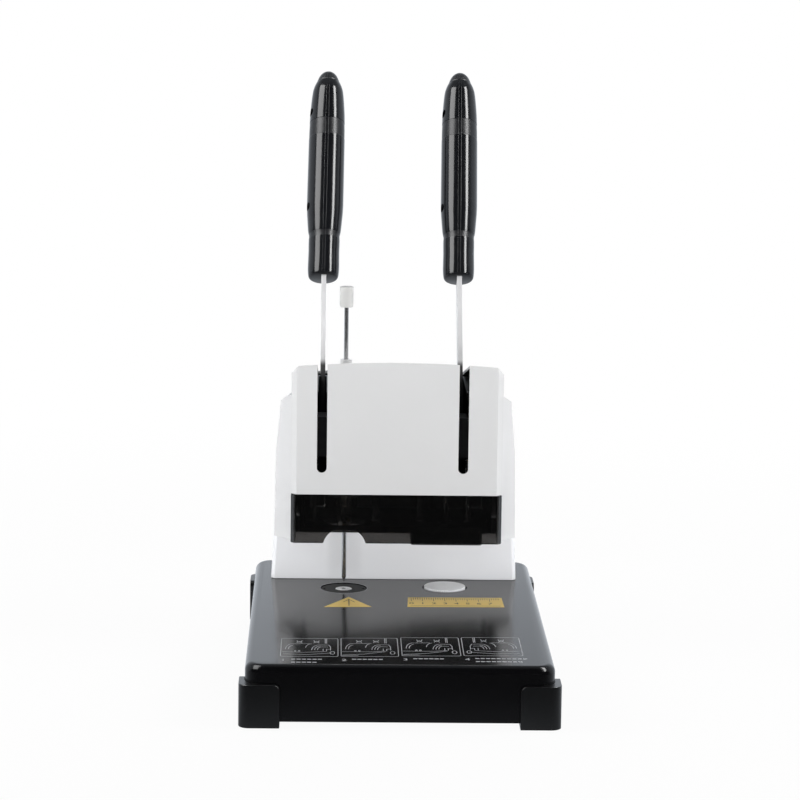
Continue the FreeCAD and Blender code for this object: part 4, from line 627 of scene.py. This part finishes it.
grip = {
    "lean": 33.5,                                    # degrees that the lever leans back
    "along": (156.8, 157.5, 158.8, 161.0, 164.0, 168.0, 176.0, 184.5, 193.0, 196.0, 198.0, 200.0, 201.6,
              203.4, 206.0, 209.5, 218.0, 226.0, 235.0, 252.0, 268.0, 294.0, 311.5, 320.0, 328.7, 337.4,
              346.0, 351.0, 354.8, 358.0, 360.2, 362.4, 364.6),
    "radius": (11.6, 12.9, 13.7, 14.2, 14.45, 14.6, 14.5, 14.4, 14.5, 14.5, 14.35, 14.25, 14.35,
               14.85, 15.3, 15.65, 16.3, 16.85, 17.1, 17.1, 17.05, 17.0, 16.9, 16.65, 16.45, 15.95,
               15.3, 14.8, 14.3, 13.5, 12.8, 11.9, 10.85),
    "capAlong": (364.6, 365.0, 366.8, 369.0, 371.1, 373.3, 375.3, 376.25),
    "capRadius": (10.45, 10.6, 10.0, 9.2, 8.15, 6.5, 4.1, 1.6),
    "flatter": 0.895,                                # its depth as a share of its width
    "aside": 0.014, "asideFrom": 200.0,              # it drifts to the right as it rises
    "bandFrom": 303.0, "bandTo": 320.2, "bandDepth": 0.22,
    "grooveFrom": 196.4, "grooveTo": 202.4, "footTo": 159.0,
    "seamHalf": 1.25, "seamDepth": 0.28, "seamStep": 0.25, "seamRadius": 15.0, "seamFade": (2.0, 6.0),
    "seamArc": (0, 0.35, 0.7, 1.0, 1.1, 1.2, 1.3, 1.4, 1.55, 2.0),
    "screwAlong": (229.5, 330.0), "screwRadius": 4.0, "screwDepth": 9.0, "half": 17.0, "screwTurn": 16.0,
    "stationStep": 0.9, "roundSteps": 44, "capSteps": 24, "edgeSpan": 0.5, "edgeSteps": 7,
    "footSpan": 3.0, "footSteps": 9, "bandSoft": 0.2, "capGap": 0.02,
    "dullRough": 0.30, "capTint": (0.022, 0.023, 0.025), "dullSoft": 0.15, "pastEnd": 500.0,
    "paintedShadeTo": 68.0, "paintedShadeSoft": 4.0,               # painted shade: the bar is coloured near-black up to here from its pivot, where it goes into the housing's shade
    "paintedShadeTint": (0.004, 0.004, 0.004), "crease": 40.0,
}
lean, screwTurn = math.radians(grip["lean"]), math.radians(grip["screwTurn"])
toRight = np.array([1.0, 0, 0])
upLever = np.array([0, math.sin(lean), math.cos(lean)])          # along a leaning lever, from its pivot
frontLever = np.array([0, -math.cos(lean), math.sin(lean)])      # square to it, to the machine's front
screwOut = np.array([-math.cos(screwTurn), 0, 0]) + frontLever * math.sin(screwTurn)


def smoothThrough(given, heights, wanted):
    # A smooth curve through points: cubic pieces whose slopes are the harmonic mean of the neighbouring
    # chords, and flat at a local high or low, so that it never overshoots.
    given, heights = np.asarray(given, float), np.asarray(heights, float)
    chords = np.diff(heights) / np.diff(given)
    before, after = chords[:-1], chords[1:]
    total = np.where(before + after == 0, 1, before + after)
    inner = np.where(before * after > 0, 2 * before * after / total, 0)
    slopes = np.concatenate([chords[:1], inner, chords[-1:]])
    index = np.clip(np.searchsorted(given, wanted) - 1, 0, len(given) - 2)
    width = given[index + 1] - given[index]
    share = (wanted - given[index]) / width
    rest = 1 - share
    start = (1 + 2 * share) * rest ** 2 * heights[index] + share * rest ** 2 * width * slopes[index]
    end = (3 - 2 * share) * heights[index + 1] - rest * width * slopes[index + 1]
    return start + share ** 2 * end


def smoothStep(low, high, values):
    # three times the share's square less twice its cube: 0 up to low, 1 from high on
    share = np.clip((values - low) / (high - low), 0, 1)
    return share * share * (3 - 2 * share)


def smoothEdge(middle, half, values):
    # a smooth step about its middle
    return smoothStep(middle - half, middle + half, values)


def gripStations():
    # Distances along the lever and the radius there, for the body and then the domed cap. They lie
    # closer at the foot and at the band's two edges, and the band is let in.
    foot, bandFrom, bandTo = grip["along"][0], grip["bandFrom"], grip["bandTo"]
    steps = int((grip["along"][-1] - foot) / grip["stationStep"])
    span, soft = grip["edgeSpan"], grip["bandSoft"]
    edges = [np.linspace(edge - span, edge + span, grip["edgeSteps"]) for edge in (bandFrom, bandTo)]
    body = np.unique(np.concatenate([np.linspace(foot, grip["along"][-1], steps), *edges,
                                     np.linspace(foot, foot + grip["footSpan"], grip["footSteps"])]))
    inBand = smoothEdge(bandFrom, soft, body) * (1 - smoothEdge(bandTo, soft, body))
    radius = smoothThrough(grip["along"], grip["radius"], body) - grip["bandDepth"] * inBand
    cap = np.linspace(grip["capAlong"][0] + grip["capGap"], grip["capAlong"][-1], grip["capSteps"])
    dome = smoothThrough(grip["capAlong"], grip["capRadius"], cap)
    return np.concatenate([body, cap]), np.concatenate([radius, dome])


def gripAside(distance):
    # how far the grip stands to the right of its bar: a straight line in the distance along
    return grip["aside"] * (distance - grip["asideFrom"])


def gripHalf(name, side, pivot, body, material, stands):
    # Half a grip: angle round the lever by distance along it. Near the parting plane the radius steps in
    # to leave the seam. The flat inner side closes the half, and fans close its two ends.
    along, radius = gripStations()
    seamAngle = np.array(grip["seamArc"]) / grip["seamRadius"]
    middle = np.linspace(seamAngle[-1], np.pi - seamAngle[-1], grip["roundSteps"])
    angle = np.concatenate([seamAngle[:-1], middle, np.pi - seamAngle[:-1][::-1]])
    fromSeam = np.minimum(angle, np.pi - angle) * grip["seamRadius"]
    inset = grip["seamDepth"] * (1 - smoothEdge(grip["seamHalf"], grip["seamStep"] / 2, fromSeam))
    reach = radius[:, None] - inset[None, :] * smoothStep(*grip["seamFade"], radius)[:, None]
    distance = np.repeat(along[:, None], len(angle), axis=1)
    across = side * reach * np.sin(angle)[None, :] + gripAside(distance)
    front = reach * np.cos(angle)[None, :] * grip["flatter"]
    rows, columns = reach.shape
    points = (toRight * across[..., None] + frontLever * front[..., None]
              + upLever * distance[..., None]) * mm
    ends = np.array([upLever * along[end] + toRight * gripAside(along[end]) for end in (0, -1)]) * mm
    around, count = np.arange(columns), rows * columns
    faces = gridFaces(rows, columns, wrapColumns=True).tolist()
    faces += fan(around, count) + fan(around + count - columns, count + 1, turned=True)
    mesh = makeMesh(name, np.concatenate([points.reshape(-1, 3), ends]) + pivot, faces)
    smoothed(turnedOutwards(mesh), grip["crease"])
    marked = np.concatenate([distance.reshape(-1), [along[0], along[-1]]])
    mesh.attributes.new("along", "FLOAT", "POINT").data.foreach_set("value", marked.astype(np.float32))
    return makePiece(name, mesh, body, material, stands)


def turnedTo(points, outward):
    # points turned so that their Z axis looks outward
    turn = Vector((0, 0, 1)).rotation_difference(Vector(outward)).to_matrix()
    return points @ np.array(turn).T


bore = {"flare": 1.1, "flareFrom": -0.3, "flareTo": 0.4, "outside": -4.0, "turns": 40}


def sunkHoles(piece, places, towards, radius, depth):
    # Round recesses bored into a piece along one direction, with a slightly flared mouth.
    start, end, outside = (bore[name] * mm for name in ("flareFrom", "flareTo", "outside"))
    flare = radius * bore["flare"]
    profile = [(0, outside), (flare, outside), (flare, start), (radius, end), (radius, depth), (0, depth)]
    points, faces = revolve(profile, (0, 0, 0), turns=bore["turns"])
    for place in places:
        cutterMesh = turnedOutwards(makeMesh("cutter", turnedTo(points, towards) + place, faces))
        cutter = bpy.data.objects.new("cutter", cutterMesh)
        bpy.context.scene.collection.objects.link(cutter)
        carve = piece.modifiers.new("carve", "BOOLEAN")
        carve.operation = "DIFFERENCE"
        carve.object = cutter
        carve.solver = "EXACT"
        graph = bpy.context.evaluated_depsgraph_get()
        piece.data = bpy.data.meshes.new_from_object(piece.evaluated_get(graph), depsgraph=graph)
        piece.modifiers.clear()
        bpy.data.objects.remove(cutter)
    smoothed(piece.data, grip["crease"])


def gripFinish():
    # Glossy black plastic, duller on a band, in the groove, at the foot and on the domed cap, which are
    # picked out by the distance along.
    material = makeFinish("gripPlasticBanded", finishes["gripPlastic"])
    tree = material.node_tree
    shader = tree.nodes["Principled BSDF"]
    distance = addNode(tree, "ShaderNodeAttribute", attribute_name="along").outputs["Fac"]
    soft = grip["dullSoft"]

    def between(low, high):
        # 1 from low to high, and 0 outside: a rise times a fall
        rise = ramp(tree, distance, low - soft, low + soft)
        return maths(tree, "MULTIPLY", rise, ramp(tree, distance, high - soft, high + soft, 1, 0))

    dull = between(grip["bandFrom"], grip["bandTo"])
    cap = between(grip["capAlong"][0], grip["pastEnd"])
    for mask in (cap, between(grip["grooveFrom"], grip["grooveTo"]), between(0, grip["footTo"])):
        dull = maths(tree, "MAXIMUM", dull, mask)
    gloss, plain = (shader.inputs[label].links[0].from_socket for label in ("Roughness", "Base Color"))
    feed(tree, shader, {"Roughness": mixed(tree, dull, gloss, grip["dullRough"], "FLOAT"),
                        "Base Color": mixed(tree, cap, plain, (*grip["capTint"], 1))})
    return material


def leverPaintedShadeFinish():
    # bright steel, with painted shade: near-black and not metallic up to where the bar comes out of the housing,
    # by the distance along it
    material = makeFinish("leverSteelPaintedShade", finishes["leverSteel"])
    tree = material.node_tree
    shader = tree.nodes["Principled BSDF"]
    reach = np.dot(joints["press_lever_pull"]["pos_m"], upLever) + grip["paintedShadeTo"] * mm
    soft = grip["paintedShadeSoft"] * mm
    place = addNode(tree, "ShaderNodeTexCoord").outputs["Object"]
    distance = addNode(tree, "ShaderNodeVectorMath", operation="DOT_PRODUCT")
    feed(tree, distance, {0: place, 1: tuple(upLever)})
    dark = ramp(tree, distance.outputs["Value"], reach - soft, reach + soft, 1, 0)
    plain = shader.inputs["Base Color"].links[0].from_socket
    feed(tree, shader, {"Base Color": mixed(tree, dark, plain, (*grip["paintedShadeTint"], 1)),
                        "Metallic": ramp(tree, dark, 0, 1, finishes["leverSteel"]["metal"], 0, "LINEAR")})
    return material


gripBanded = gripFinish()
leverPaintedShade = leverPaintedShadeFinish()
for lever in ("press", "drill"):
    pivot = np.array(joints[lever + "_lever_pull"]["pos_m"])
    body = lever + "_lever"
    for hand, side in (("left", -1), ("right", 1)):
        half = gripHalf(lever + "_grip_%s_shell" % hand, side, pivot, body, gripBanded,
                        [lever + "_grip_%s_half" % hand])
        if hand == "left":
            mouths = [pivot + (upLever * along + screwOut * grip["half"] + toRight * gripAside(along)) * mm
                      for along in grip["screwAlong"]]
            sunkHoles(half, mouths, -screwOut, grip["screwRadius"] * mm,
                      (grip["half"] - grip["screwDepth"]) * mm)
    softCopy(lever + "_lever_bar", body, leverPaintedShade, 0.5)
print("levers finished")


# guide needle, its knob and collar, and the pad: profiles turned round their own upright axes

def roundBody(node):
    # a turned CAD node's middle on the floor, its radius, and its lowest and highest Z
    low, high = boxOf(node)
    return (low + high) / 2 * (1, 1, 0), (high[0] - low[0]) / 2, low[2], high[2]


def turnedPiece(name, profile, centre, turns, body, slot, finishName, node, **flutes):
    # a piece that is one profile carried round an upright axis
    points, faces = revolve(profile, centre, turns, **flutes)
    makePiece(name, makeMesh(name, points, faces), body, finish[finishName], [node])


needle = {"tipRadius": 0.25, "cone": 5.0, "coneEdge": 0.8, "knobEdge": 0.9, "knobDish": 0.35,
          "knobShares": (0.8, 0.93, 0.72, 0.5)}          # radii of its flat foot, flare, lip and hollow
axis, radius, foot, top = roundBody("guide_needle")
profile = roundCorners([(0, foot, 0), (needle["tipRadius"] * mm, foot, 0),
                        (radius, foot + needle["cone"] * mm, needle["coneEdge"] * mm),
                        (radius, top, 0), (0, top, 0)])
turnedPiece("guide_needle_rod", profile, axis, 40, "guide_needle", "polished_steel", "needleSteel",
            "guide_needle")

knobRadius, foot, top = roundBody("needle_knob")[1:]
edge, dish = needle["knobEdge"] * mm, top - needle["knobDish"] * mm
flat, flare, lip, hollow = (knobRadius * share for share in needle["knobShares"])
profile = roundCorners([(0, foot, 0), (flat, foot, 0), (flare, foot, edge),
                        (knobRadius, foot + 2 * edge, edge), (knobRadius, top, edge), (lip, top, edge),
                        (hollow, dish, edge), (0, dish, 0)])
turnedPiece("needle_knob_cap", profile, axis, 72, "guide_needle", "knob_plastic", "knobPlastic",
            "needle_knob")
softCopy("needle_collar", "chassis", finish["collarPlastic"], 0.5)

# cutting pad: a thick nylon disc with a knurled rim, a thinner stem and a turned centre mark
pad = {"flutes": 60, "fluteDepth": 0.8, "fluted": (4, 14), "stem": 4.0, "rimHigh": 7.5, "footIn": 0.6,
       "footRound": 0.3, "topRound": 0.5, "topFrom": 0.5, "mark": ((1.5, 0), (1.2, 0.25), (0.5, 0.3), (0, 0.3))}
axis, radius, foot, top = roundBody("cutting_pad")
stem, footIn, rimFoot = pad["stem"] * mm, pad["footIn"] * mm, top - pad["rimHigh"] * mm
rim = roundCorners([(radius - footIn, rimFoot, 0), (radius, rimFoot + footIn, pad["footRound"] * mm),
                    (radius, top, pad["topRound"] * mm), (radius * pad["topFrom"], top, 0)])
profile = np.concatenate([[(0, foot), (stem, foot), (stem, rimFoot), (radius - footIn, rimFoot)], rim[1:],
                          [(out * mm, top - deep * mm) for out, deep in pad["mark"]]])
turnedPiece("cutting_pad_disc", profile, axis, pad["flutes"] * 8, "cutting_pad", "pad_nylon", "padNylon",
            "cutting_pad", flutes=pad["flutes"], fluteDepth=pad["fluteDepth"] * mm, fluteSpan=pad["fluted"])
print("needle and pad finished")


# return springs: wire coils round the guide rods, which shorten as the carriages come down

spring = {"wire": 1.1, "turns": 8.0, "stepsPerTurn": 28, "roundSteps": 10, "climb": (0.02, 0.98), "clear": 0.2}


def coil(centre, radius, wire, low, high):
    # A wire whose middle climbs a helix: angle and height grow together, slower in the end turns.
    count = int(spring["turns"] * spring["stepsPerTurn"])
    share = np.linspace(0, 1, count)
    angle = 2 * np.pi * spring["turns"] * share
    height = low + wire / 2 + (high - low - wire) * smoothStep(*spring["climb"], share)
    outward = np.stack([np.cos(angle), np.sin(angle), np.zeros(count)], axis=1)
    middle = outward * (radius - wire / 2) + np.stack([np.zeros(count), np.zeros(count), height], axis=1)
    tangent = np.gradient(middle, axis=0)
    tangent /= np.linalg.norm(tangent, axis=1, keepdims=True)
    binormal = np.cross(tangent, outward)
    turn = np.linspace(0, 2 * np.pi, spring["roundSteps"], endpoint=False)
    ring = outward[:, None] * np.cos(turn)[None, :, None] + binormal[:, None] * np.sin(turn)[None, :, None]
    points = (middle[:, None] + ring * wire / 2).reshape(-1, 3) + np.array([centre[0], centre[1], 0])
    faces = gridFaces(count, len(turn), wrapColumns=True).tolist()
    faces += [list(range(len(turn)))[::-1], list(range(len(points) - len(turn), len(points)))]
    return points, faces


for station in ("press", "drill"):
    node = station + "_return_springs"
    low, high = boxOf(node)
    radius, middle, tall = (high[1] - low[1]) / 2, (low[1] + high[1]) / 2, high[2] - low[2]
    centres, wire = [(low[0] + radius, middle), (high[0] - radius, middle)], spring["wire"] * mm
    points, faces = joinParts([coil(centre, radius, wire, low[2], high[2]) for centre in centres])
    springs = makePiece(station + "_spring_coils", turnedOutwards(makeMesh(node, points, faces)), "chassis",
                        finish["springSteel"], [node])
    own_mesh(springs)
print("springs wound")


# screws: low domed heads with a cross recess, and their plain shanks

screws = {
    "foot": {"head": 4.2, "thick": 2.2, "shank": 2.0, "long": 4.4},
    "cover": {"head": 3.6, "thick": 1.6, "shank": 2.0, "long": 14.0},
    "grip": {"head": 3.4, "thick": 2.0, "shank": 1.9, "long": 18.0},
    "footAside": 116.0, "footDeep": (-248.5, 131.5), "footUp": 2.6,
    "coverAside": 60.0, "coverDeep": 139.5, "coverUp": (122.0, 202.0),
    "crossArm": 0.58, "crossHalf": 0.12, "crossSoft": 0.05, "crossDeep": 0.62, "topRings": 24, "turns": 72,
    "domeFrom": 0.03, "domeTo": 0.9, "domeDrop": 0.28, "rimTop": 0.77, "rimSide": 0.62, "rimRound": 0.2,
}


def screw(kind, seat, outward):
    # a profile turned round the screw's axis: a dome that falls with the square of the radius, a rim and
    # a shank. Inside the two arms of the cross the dome is lowered, with slanting sides
    head, thick, shank, long = (screws[kind][name] * mm for name in ("head", "thick", "shank", "long"))
    radius = np.linspace(screws["domeFrom"], screws["domeTo"], screws["topRings"]) * head
    dome = np.stack([radius, thick - screws["domeDrop"] * thick * (radius / head) ** 2], axis=1)
    rim = roundCorners([(screws["domeTo"] * head, screws["rimTop"] * thick, 0),
                        (head, screws["rimSide"] * thick, screws["rimRound"] * head), (head, 0, 0)], steps=5)
    profile = np.concatenate([[[0, thick]], dome, rim[1:], [[shank, 0], [shank, -long], [0, -long]]])
    points, faces = revolve(profile, (0, 0, 0), turns=screws["turns"])
    across, along = np.abs(points[:, 0]) / head, np.abs(points[:, 1]) / head

    def within(narrow, wide):
        # 1 in an arm of the cross: inside its half width one way and its length the other way
        inWidth = 1 - smoothEdge(screws["crossHalf"], screws["crossSoft"], narrow)
        return inWidth * (1 - smoothEdge(screws["crossArm"], screws["crossSoft"], wide))

    cross = np.maximum(within(across, along), within(along, across)) * (points[:, 2] > 0.5 * thick)
    points[:, 2] -= cross * screws["crossDeep"] * thick
    return turnedTo(points, outward) + np.asarray(seat), faces


def makeScrews(name, body, parts, stands):
    # several screws as one piece
    points, faces = joinParts(parts)
    mesh = turnedOutwards(makeMesh(name, points, faces))
    makePiece(name, mesh, body, finish["screwSteel"], [stands])


heads = [screw("foot", (side * screws["footAside"] * mm, deep * mm, screws["footUp"] * mm), (0, 0, -1))
         for side in (-1, 1) for deep in screws["footDeep"]]
heads += [screw("cover", (side * screws["coverAside"] * mm, screws["coverDeep"] * mm, up * mm), (0, 1, 0))
          for side in (-1, 1) for up in screws["coverUp"]]
makeScrews("case_screw_heads", "chassis", heads, "case_screws")
for lever in ("press", "drill"):
    pivot = np.array(joints[lever + "_lever_pull"]["pos_m"])
    pivot[0] = sum(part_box(lever + "_lever_bar")[end][0] for end in (0, 1)) / 2
    seats = [pivot + (upLever * along + screwOut * grip["screwDepth"] + toRight * gripAside(along)) * mm
             for along in grip["screwAlong"]]
    makeScrews(lever + "_grip_screw_heads", lever + "_lever",
               [screw("grip", seat, screwOut) for seat in seats], lever + "_grip_screws")
print("screws turned")


# marks on the base: four line drawings in frames with plain numbers, a yellow pointer at the press
# station and a yellow rule at the drill station, all as thin films

marks = {
    "top": 52.0, "deepZero": -260.5, "film": 0.05, "labelFilm": 0.12, "lineWide": 0.54, "fineWide": 0.5,
    "labelLineWide": 0.8, "numberSize": 9.0, "ringGap": 0.9, "dieHole": 1.7,
    "frames": (((-99.0, 31.0), (-51.3, 31.5), (-51.3, 93.0), (-99.0, 92.5)),
               ((-48.7, 32.0), (-1.0, 33.0), (-1.0, 96.0), (-48.7, 95.0)),
               ((2.0, 35.5), (50.9, 36.5), (50.9, 99.5), (2.0, 98.5)),
               ((53.5, 37.5), (102.6, 38.5), (102.6, 101.5), (53.5, 100.5))),
    "pointer": ((-63.7, 208.4), (-21.3, 209.8), (-41.4, 247.8)), "arrow": (214.0, 228.0, 238.0), "barb": 5.0,
    "rule": ((10.3, 211.0), (96.3, 212.5), (95.6, 249.0), (11.5, 248.0)),
}
# under each frame: a number, and rows of dashes where words could stand
caption = {"number": (2.5, -12.0), "rows": (2, 1, 1, 2), "reach": (24, 24, 24, 40), "start": 9, "down": 9,
           "rowStep": 10, "shorter": 3, "dash": 3.4, "pitch": 4.4, "wide": 2.4}
ruler = {"from": 4, "to": 3, "step": 2.0, "top": 246.5, "long": 13, "short": 7, "every": 5, "numberDeep": 225,
         "lineFrom": 3, "lineDeep": (215.5, 216.5)}


def strokes(lines, wide, thick):
    # each path of (x, y) points becomes a thin bar: its sides lie half the width off the path, along the
    # mean of the normals of the runs before and after a point, and longer where the path turns
    parts = []
    for line in lines:
        path = np.asarray(line, float)
        runs = np.diff(path, axis=0)
        runs /= np.linalg.norm(runs, axis=1, keepdims=True)
        normals = np.stack([-runs[:, 1], runs[:, 0]], axis=1)
        mean = np.concatenate([normals[:1], normals[:-1] + normals[1:], normals[-1:]])
        mean /= np.linalg.norm(mean, axis=1, keepdims=True)
        facing = np.concatenate([normals[:1], normals])
        stretch = 1 / np.clip((mean * facing).sum(axis=1, keepdims=True), 0.5, 1)
        side = mean * stretch * wide / 2
        ring = np.stack([path + side, path - side, path - side, path + side], axis=1)
        height = np.broadcast_to(np.array([thick, thick, 0, 0])[None, :, None], (len(path), 4, 1))
        faces = gridFaces(len(path), 4, wrapColumns=True).tolist()
        last = 4 * (len(path) - 1)
        faces += [[3, 2, 1, 0], [last, last + 1, last + 2, last + 3]]
        parts.append((np.concatenate([ring, height], axis=2).reshape(-1, 3), faces))
    return parts


def plate(corners, thick):
    # a flat sheet over a many-cornered outline
    outline = np.asarray(corners, float)
    count = len(outline)
    points = np.concatenate([np.column_stack([outline, np.full(count, up)]) for up in (0.0, thick)])
    ring = np.arange(count)
    following = (ring + 1) % count
    faces = np.stack([ring, following, following + count, ring + count], axis=1).tolist()
    return points, faces + [ring[::-1].tolist(), (ring + count).tolist()]


def lettering(text, size, place, thick):
    # a plain number from the built-in font, as a thin solid with its middle at the place given
    curve = bpy.data.curves.new("number", "FONT")
    curve.body, curve.size, curve.extrude = text, size, thick / 2
    curve.align_x, curve.align_y = "CENTER", "CENTER"
    written = bpy.data.objects.new("number", curve)
    bpy.context.scene.collection.objects.link(written)
    mesh = bpy.data.meshes.new_from_object(written.evaluated_get(bpy.context.evaluated_depsgraph_get()))
    points = np.empty(len(mesh.vertices) * 3)
    mesh.vertices.foreach_get("co", points)
    faces = [list(face.vertices) for face in mesh.polygons]
    bpy.data.objects.remove(written)
    return points.reshape(-1, 3) + np.array([place[0], place[1], thick / 2]), faces


def arc(middle, reach, start, stop, steps=12):
    # points of an ellipse from one angle to another: cosine times one reach, sine times the other
    turn = np.radians(np.linspace(start, stop, steps))
    return np.stack([middle[0] + reach[0] * np.cos(turn), middle[1] + reach[1] * np.sin(turn)], axis=1)


def frameOutline(corners, rounding=2.5, steps=5):
    # the closed outline of a four-cornered frame, with each corner cut by a quadratic curve
    spots = np.asarray(corners, float)
    path = []
    for index in range(4):
        spot, back, ahead = spots[index], spots[index - 1], spots[(index + 1) % 4]
        start = spot + (back - spot) / np.linalg.norm(back - spot) * rounding
        end = spot + (ahead - spot) / np.linalg.norm(ahead - spot) * rounding
        share = np.linspace(0, 1, steps)[:, None]
        path.append((1 - share) ** 2 * start + 2 * share * (1 - share) * spot + share ** 2 * end)
    path = np.concatenate(path)
    return np.concatenate([path, path[:1]])


def workDrawing(step):
    # a sheet pile under a bound spine and the tools over it, in shares of the frame's width and depth.
    # The four steps differ in which tool is down and in how the pile lies
    lines = [arc((0.20, 0.40), (0.12, 0.30), 95, 180), arc((0.22, 0.40), (0.09, 0.22), 95, 180),
             [(0.19, 0.70), (0.50, 0.71)], arc((0.54, 0.46), (0.11, 0.24), 92, 175),
             arc((0.68, 0.36), (0.14, 0.28), 90, 180), arc((0.70, 0.36), (0.11, 0.22), 90, 180),
             arc((0.72, 0.36), (0.08, 0.17), 90, 180),
             [(0.68, 0.64), (0.84, 0.63), (0.87, 0.52), (0.87, 0.34)],
             [(0.72, 0.53), (0.82, 0.52)], [(0.74, 0.30), (0.74, 0.42)],
             [(0.80, 0.30), (0.80, 0.40), (0.87, 0.40)]]
    lines += [arc((x, 0.94), (0.05, 0.16), 200, 340) for x in (0.32, 0.62)]
    lines += [[(x - 0.05, 0.74), (x, 0.84), (x + 0.05, 0.74)] for x in (0.32, 0.62)]
    lines += [[(0.775, 0.72), (0.775, 0.98)], [(0.80, 0.72), (0.80, 0.98)]]
    lines += [arc((0.25 + 0.07 * k, 0.30), (0.015, 0.03), 0, 360, 9) for k in range(2)]
    if step in (0, 3):
        lines += [[(0.02, 0.26), (0.40, 0.22), (0.80, 0.28)], [(0.04, 0.14), (0.45, 0.10), (0.90, 0.20)]]
    else:
        lines += [[(0.02, 0.26), (0.55, 0.25), (0.78, 0.30)], [(0.02, 0.08), (0.40, 0.13), (0.78, 0.26)],
                  [(0.02, 0.05), (0.30, 0.05)]]
    lines += [arc((0.90, 0.20), (0.04, 0.08), 0, 360, 13)]
    if step == 3:
        lines = [[(1 - x, y) for x, y in line] for line in lines]
    return [np.asarray(line, float) for line in lines]


def inFrame(corners, line):
    # shares of the frame's width and depth to places, linear in both
    a, b, c, d = np.asarray(corners, float)
    x, y = line[:, :1], line[:, 1:]
    return (1 - x) * (1 - y) * a + x * (1 - y) * b + x * y * c + (1 - x) * y * d


def layFilm(name, parts, finishName, lift):
    # thin shapes drawn in millimetres from the base's front edge, laid on its top or a lift above it
    points, faces = joinParts(parts)
    points = (points + np.array([0, marks["deepZero"], marks["top"] + lift])) * mm
    mesh = turnedOutwards(makeMesh(name, points, faces))
    makePiece(name, mesh, "chassis", finish[finishName])


film, numberSize = marks["film"], marks["numberSize"]
drawn, ruled = [], []
for step, corners in enumerate(marks["frames"]):
    lines = [frameOutline(corners)] + [inFrame(corners, line) for line in workDrawing(step)]
    drawn += strokes(lines, marks["lineWide"], film)
    left, front = corners[0]
    drawn.append(lettering(str(step + 1), numberSize, np.add(corners[0], caption["number"]), film))
    for row in range(caption["rows"][step]):
        start, deep = left + caption["start"], front - caption["down"] - caption["rowStep"] * row
        starts = np.arange(start, start + caption["reach"][step] - caption["shorter"] * row, caption["pitch"])
        drawn += strokes([[(x, deep), (x + caption["dash"], deep)] for x in starts], caption["wide"], film)
layFilm("station_line_drawings", drawn, "markPaint", 0.0)

# painted highlight: a pale line just outside the die ring stands for the light on the edge of its recess
low, high = boxOf("lower_die_ring")
middle = (low[:2] + high[:2]) / 2 / mm - np.array([0, marks["deepZero"]])
rim = (high[0] - low[0]) / 2 / mm + marks["ringGap"]
ring = arc(middle, (rim, rim), 0, 360, 97)
layFilm("die_edge_painted_highlight", strokes([ring], marks["fineWide"], film), "markPaint", 0.0)
# painted shade: a dark disc on top of the die insert stands for the shade in its centre hole
hole, dieTop = marks["dieHole"], boxOf("lower_die_insert")[1][2] / mm
layFilm("die_hole_painted_shade", [plate(arc(middle, (hole, hole), 0, 345, 24), film)], "labelInkAndPaintedShade", dieTop - marks["top"])

label, lineWide = marks["labelFilm"], marks["labelLineWide"]
layFilm("press_pointer_label", [plate(marks["pointer"], label)], "labelYellow", 0.0)
layFilm("drill_rule_label", [plate(marks["rule"], label)], "labelYellow", 0.0)
left, right = marks["rule"][0][0], marks["rule"][1][0]
for index, x in enumerate(np.arange(left + ruler["from"], right - ruler["to"], ruler["step"])):
    whole = index % ruler["every"] == 0
    foot = ruler["top"] - ruler["long" if whole else "short"]
    ruled += strokes([[(x, foot), (x, ruler["top"])]], marks["fineWide"], film)
    if whole:
        ruled.append(lettering(str(index // ruler["every"]), numberSize, (x, ruler["numberDeep"]), film))
ends = (left + ruler["lineFrom"], right - ruler["lineFrom"])
ruled += strokes([list(zip(ends, ruler["lineDeep"]))], lineWide, film)
middle, (foot, barbs, tip), barb = marks["pointer"][2][0], marks["arrow"], marks["barb"]
ruled += strokes([[(middle, foot), (middle, tip)],
                  [(middle - barb, barbs), (middle, tip), (middle + barb, barbs)]], lineWide, film)
layFilm("label_ink", ruled, "labelInkAndPaintedShade", label)
print("marks laid")


# every CAD node that still shows gets the finish of its slot

slotFinish = {
    "zinc_sheet": "zincSheet", "screw_steel": "screwSteel", "polished_steel": "polishedSteel",
    "bronze": "bronze", "cast_seat": "castSeat", "die_steel": "dieSteel", "lamination": "lamination",
    "circuit_board": "circuitBoard", "gear_steel": "gearSteel", "carriage_alloy": "carriageBlack",
    "heater_alloy": "alloy", "frame_paint": "framePaint", "insulator_board": "insulatorBoard",
    "bearing_steel": "polishedSteel", "motor_can": "motorCan", "belt_rubber": "beltRubber",
}
for subpart in frame["record"]["subparts"]:
    node = frame["nodes"][subpart["node"]]
    if node.hide_render:
        continue
    node.data.materials.clear()
    node.data.materials.append(finish[slotFinish[subpart["material_slot"]]])
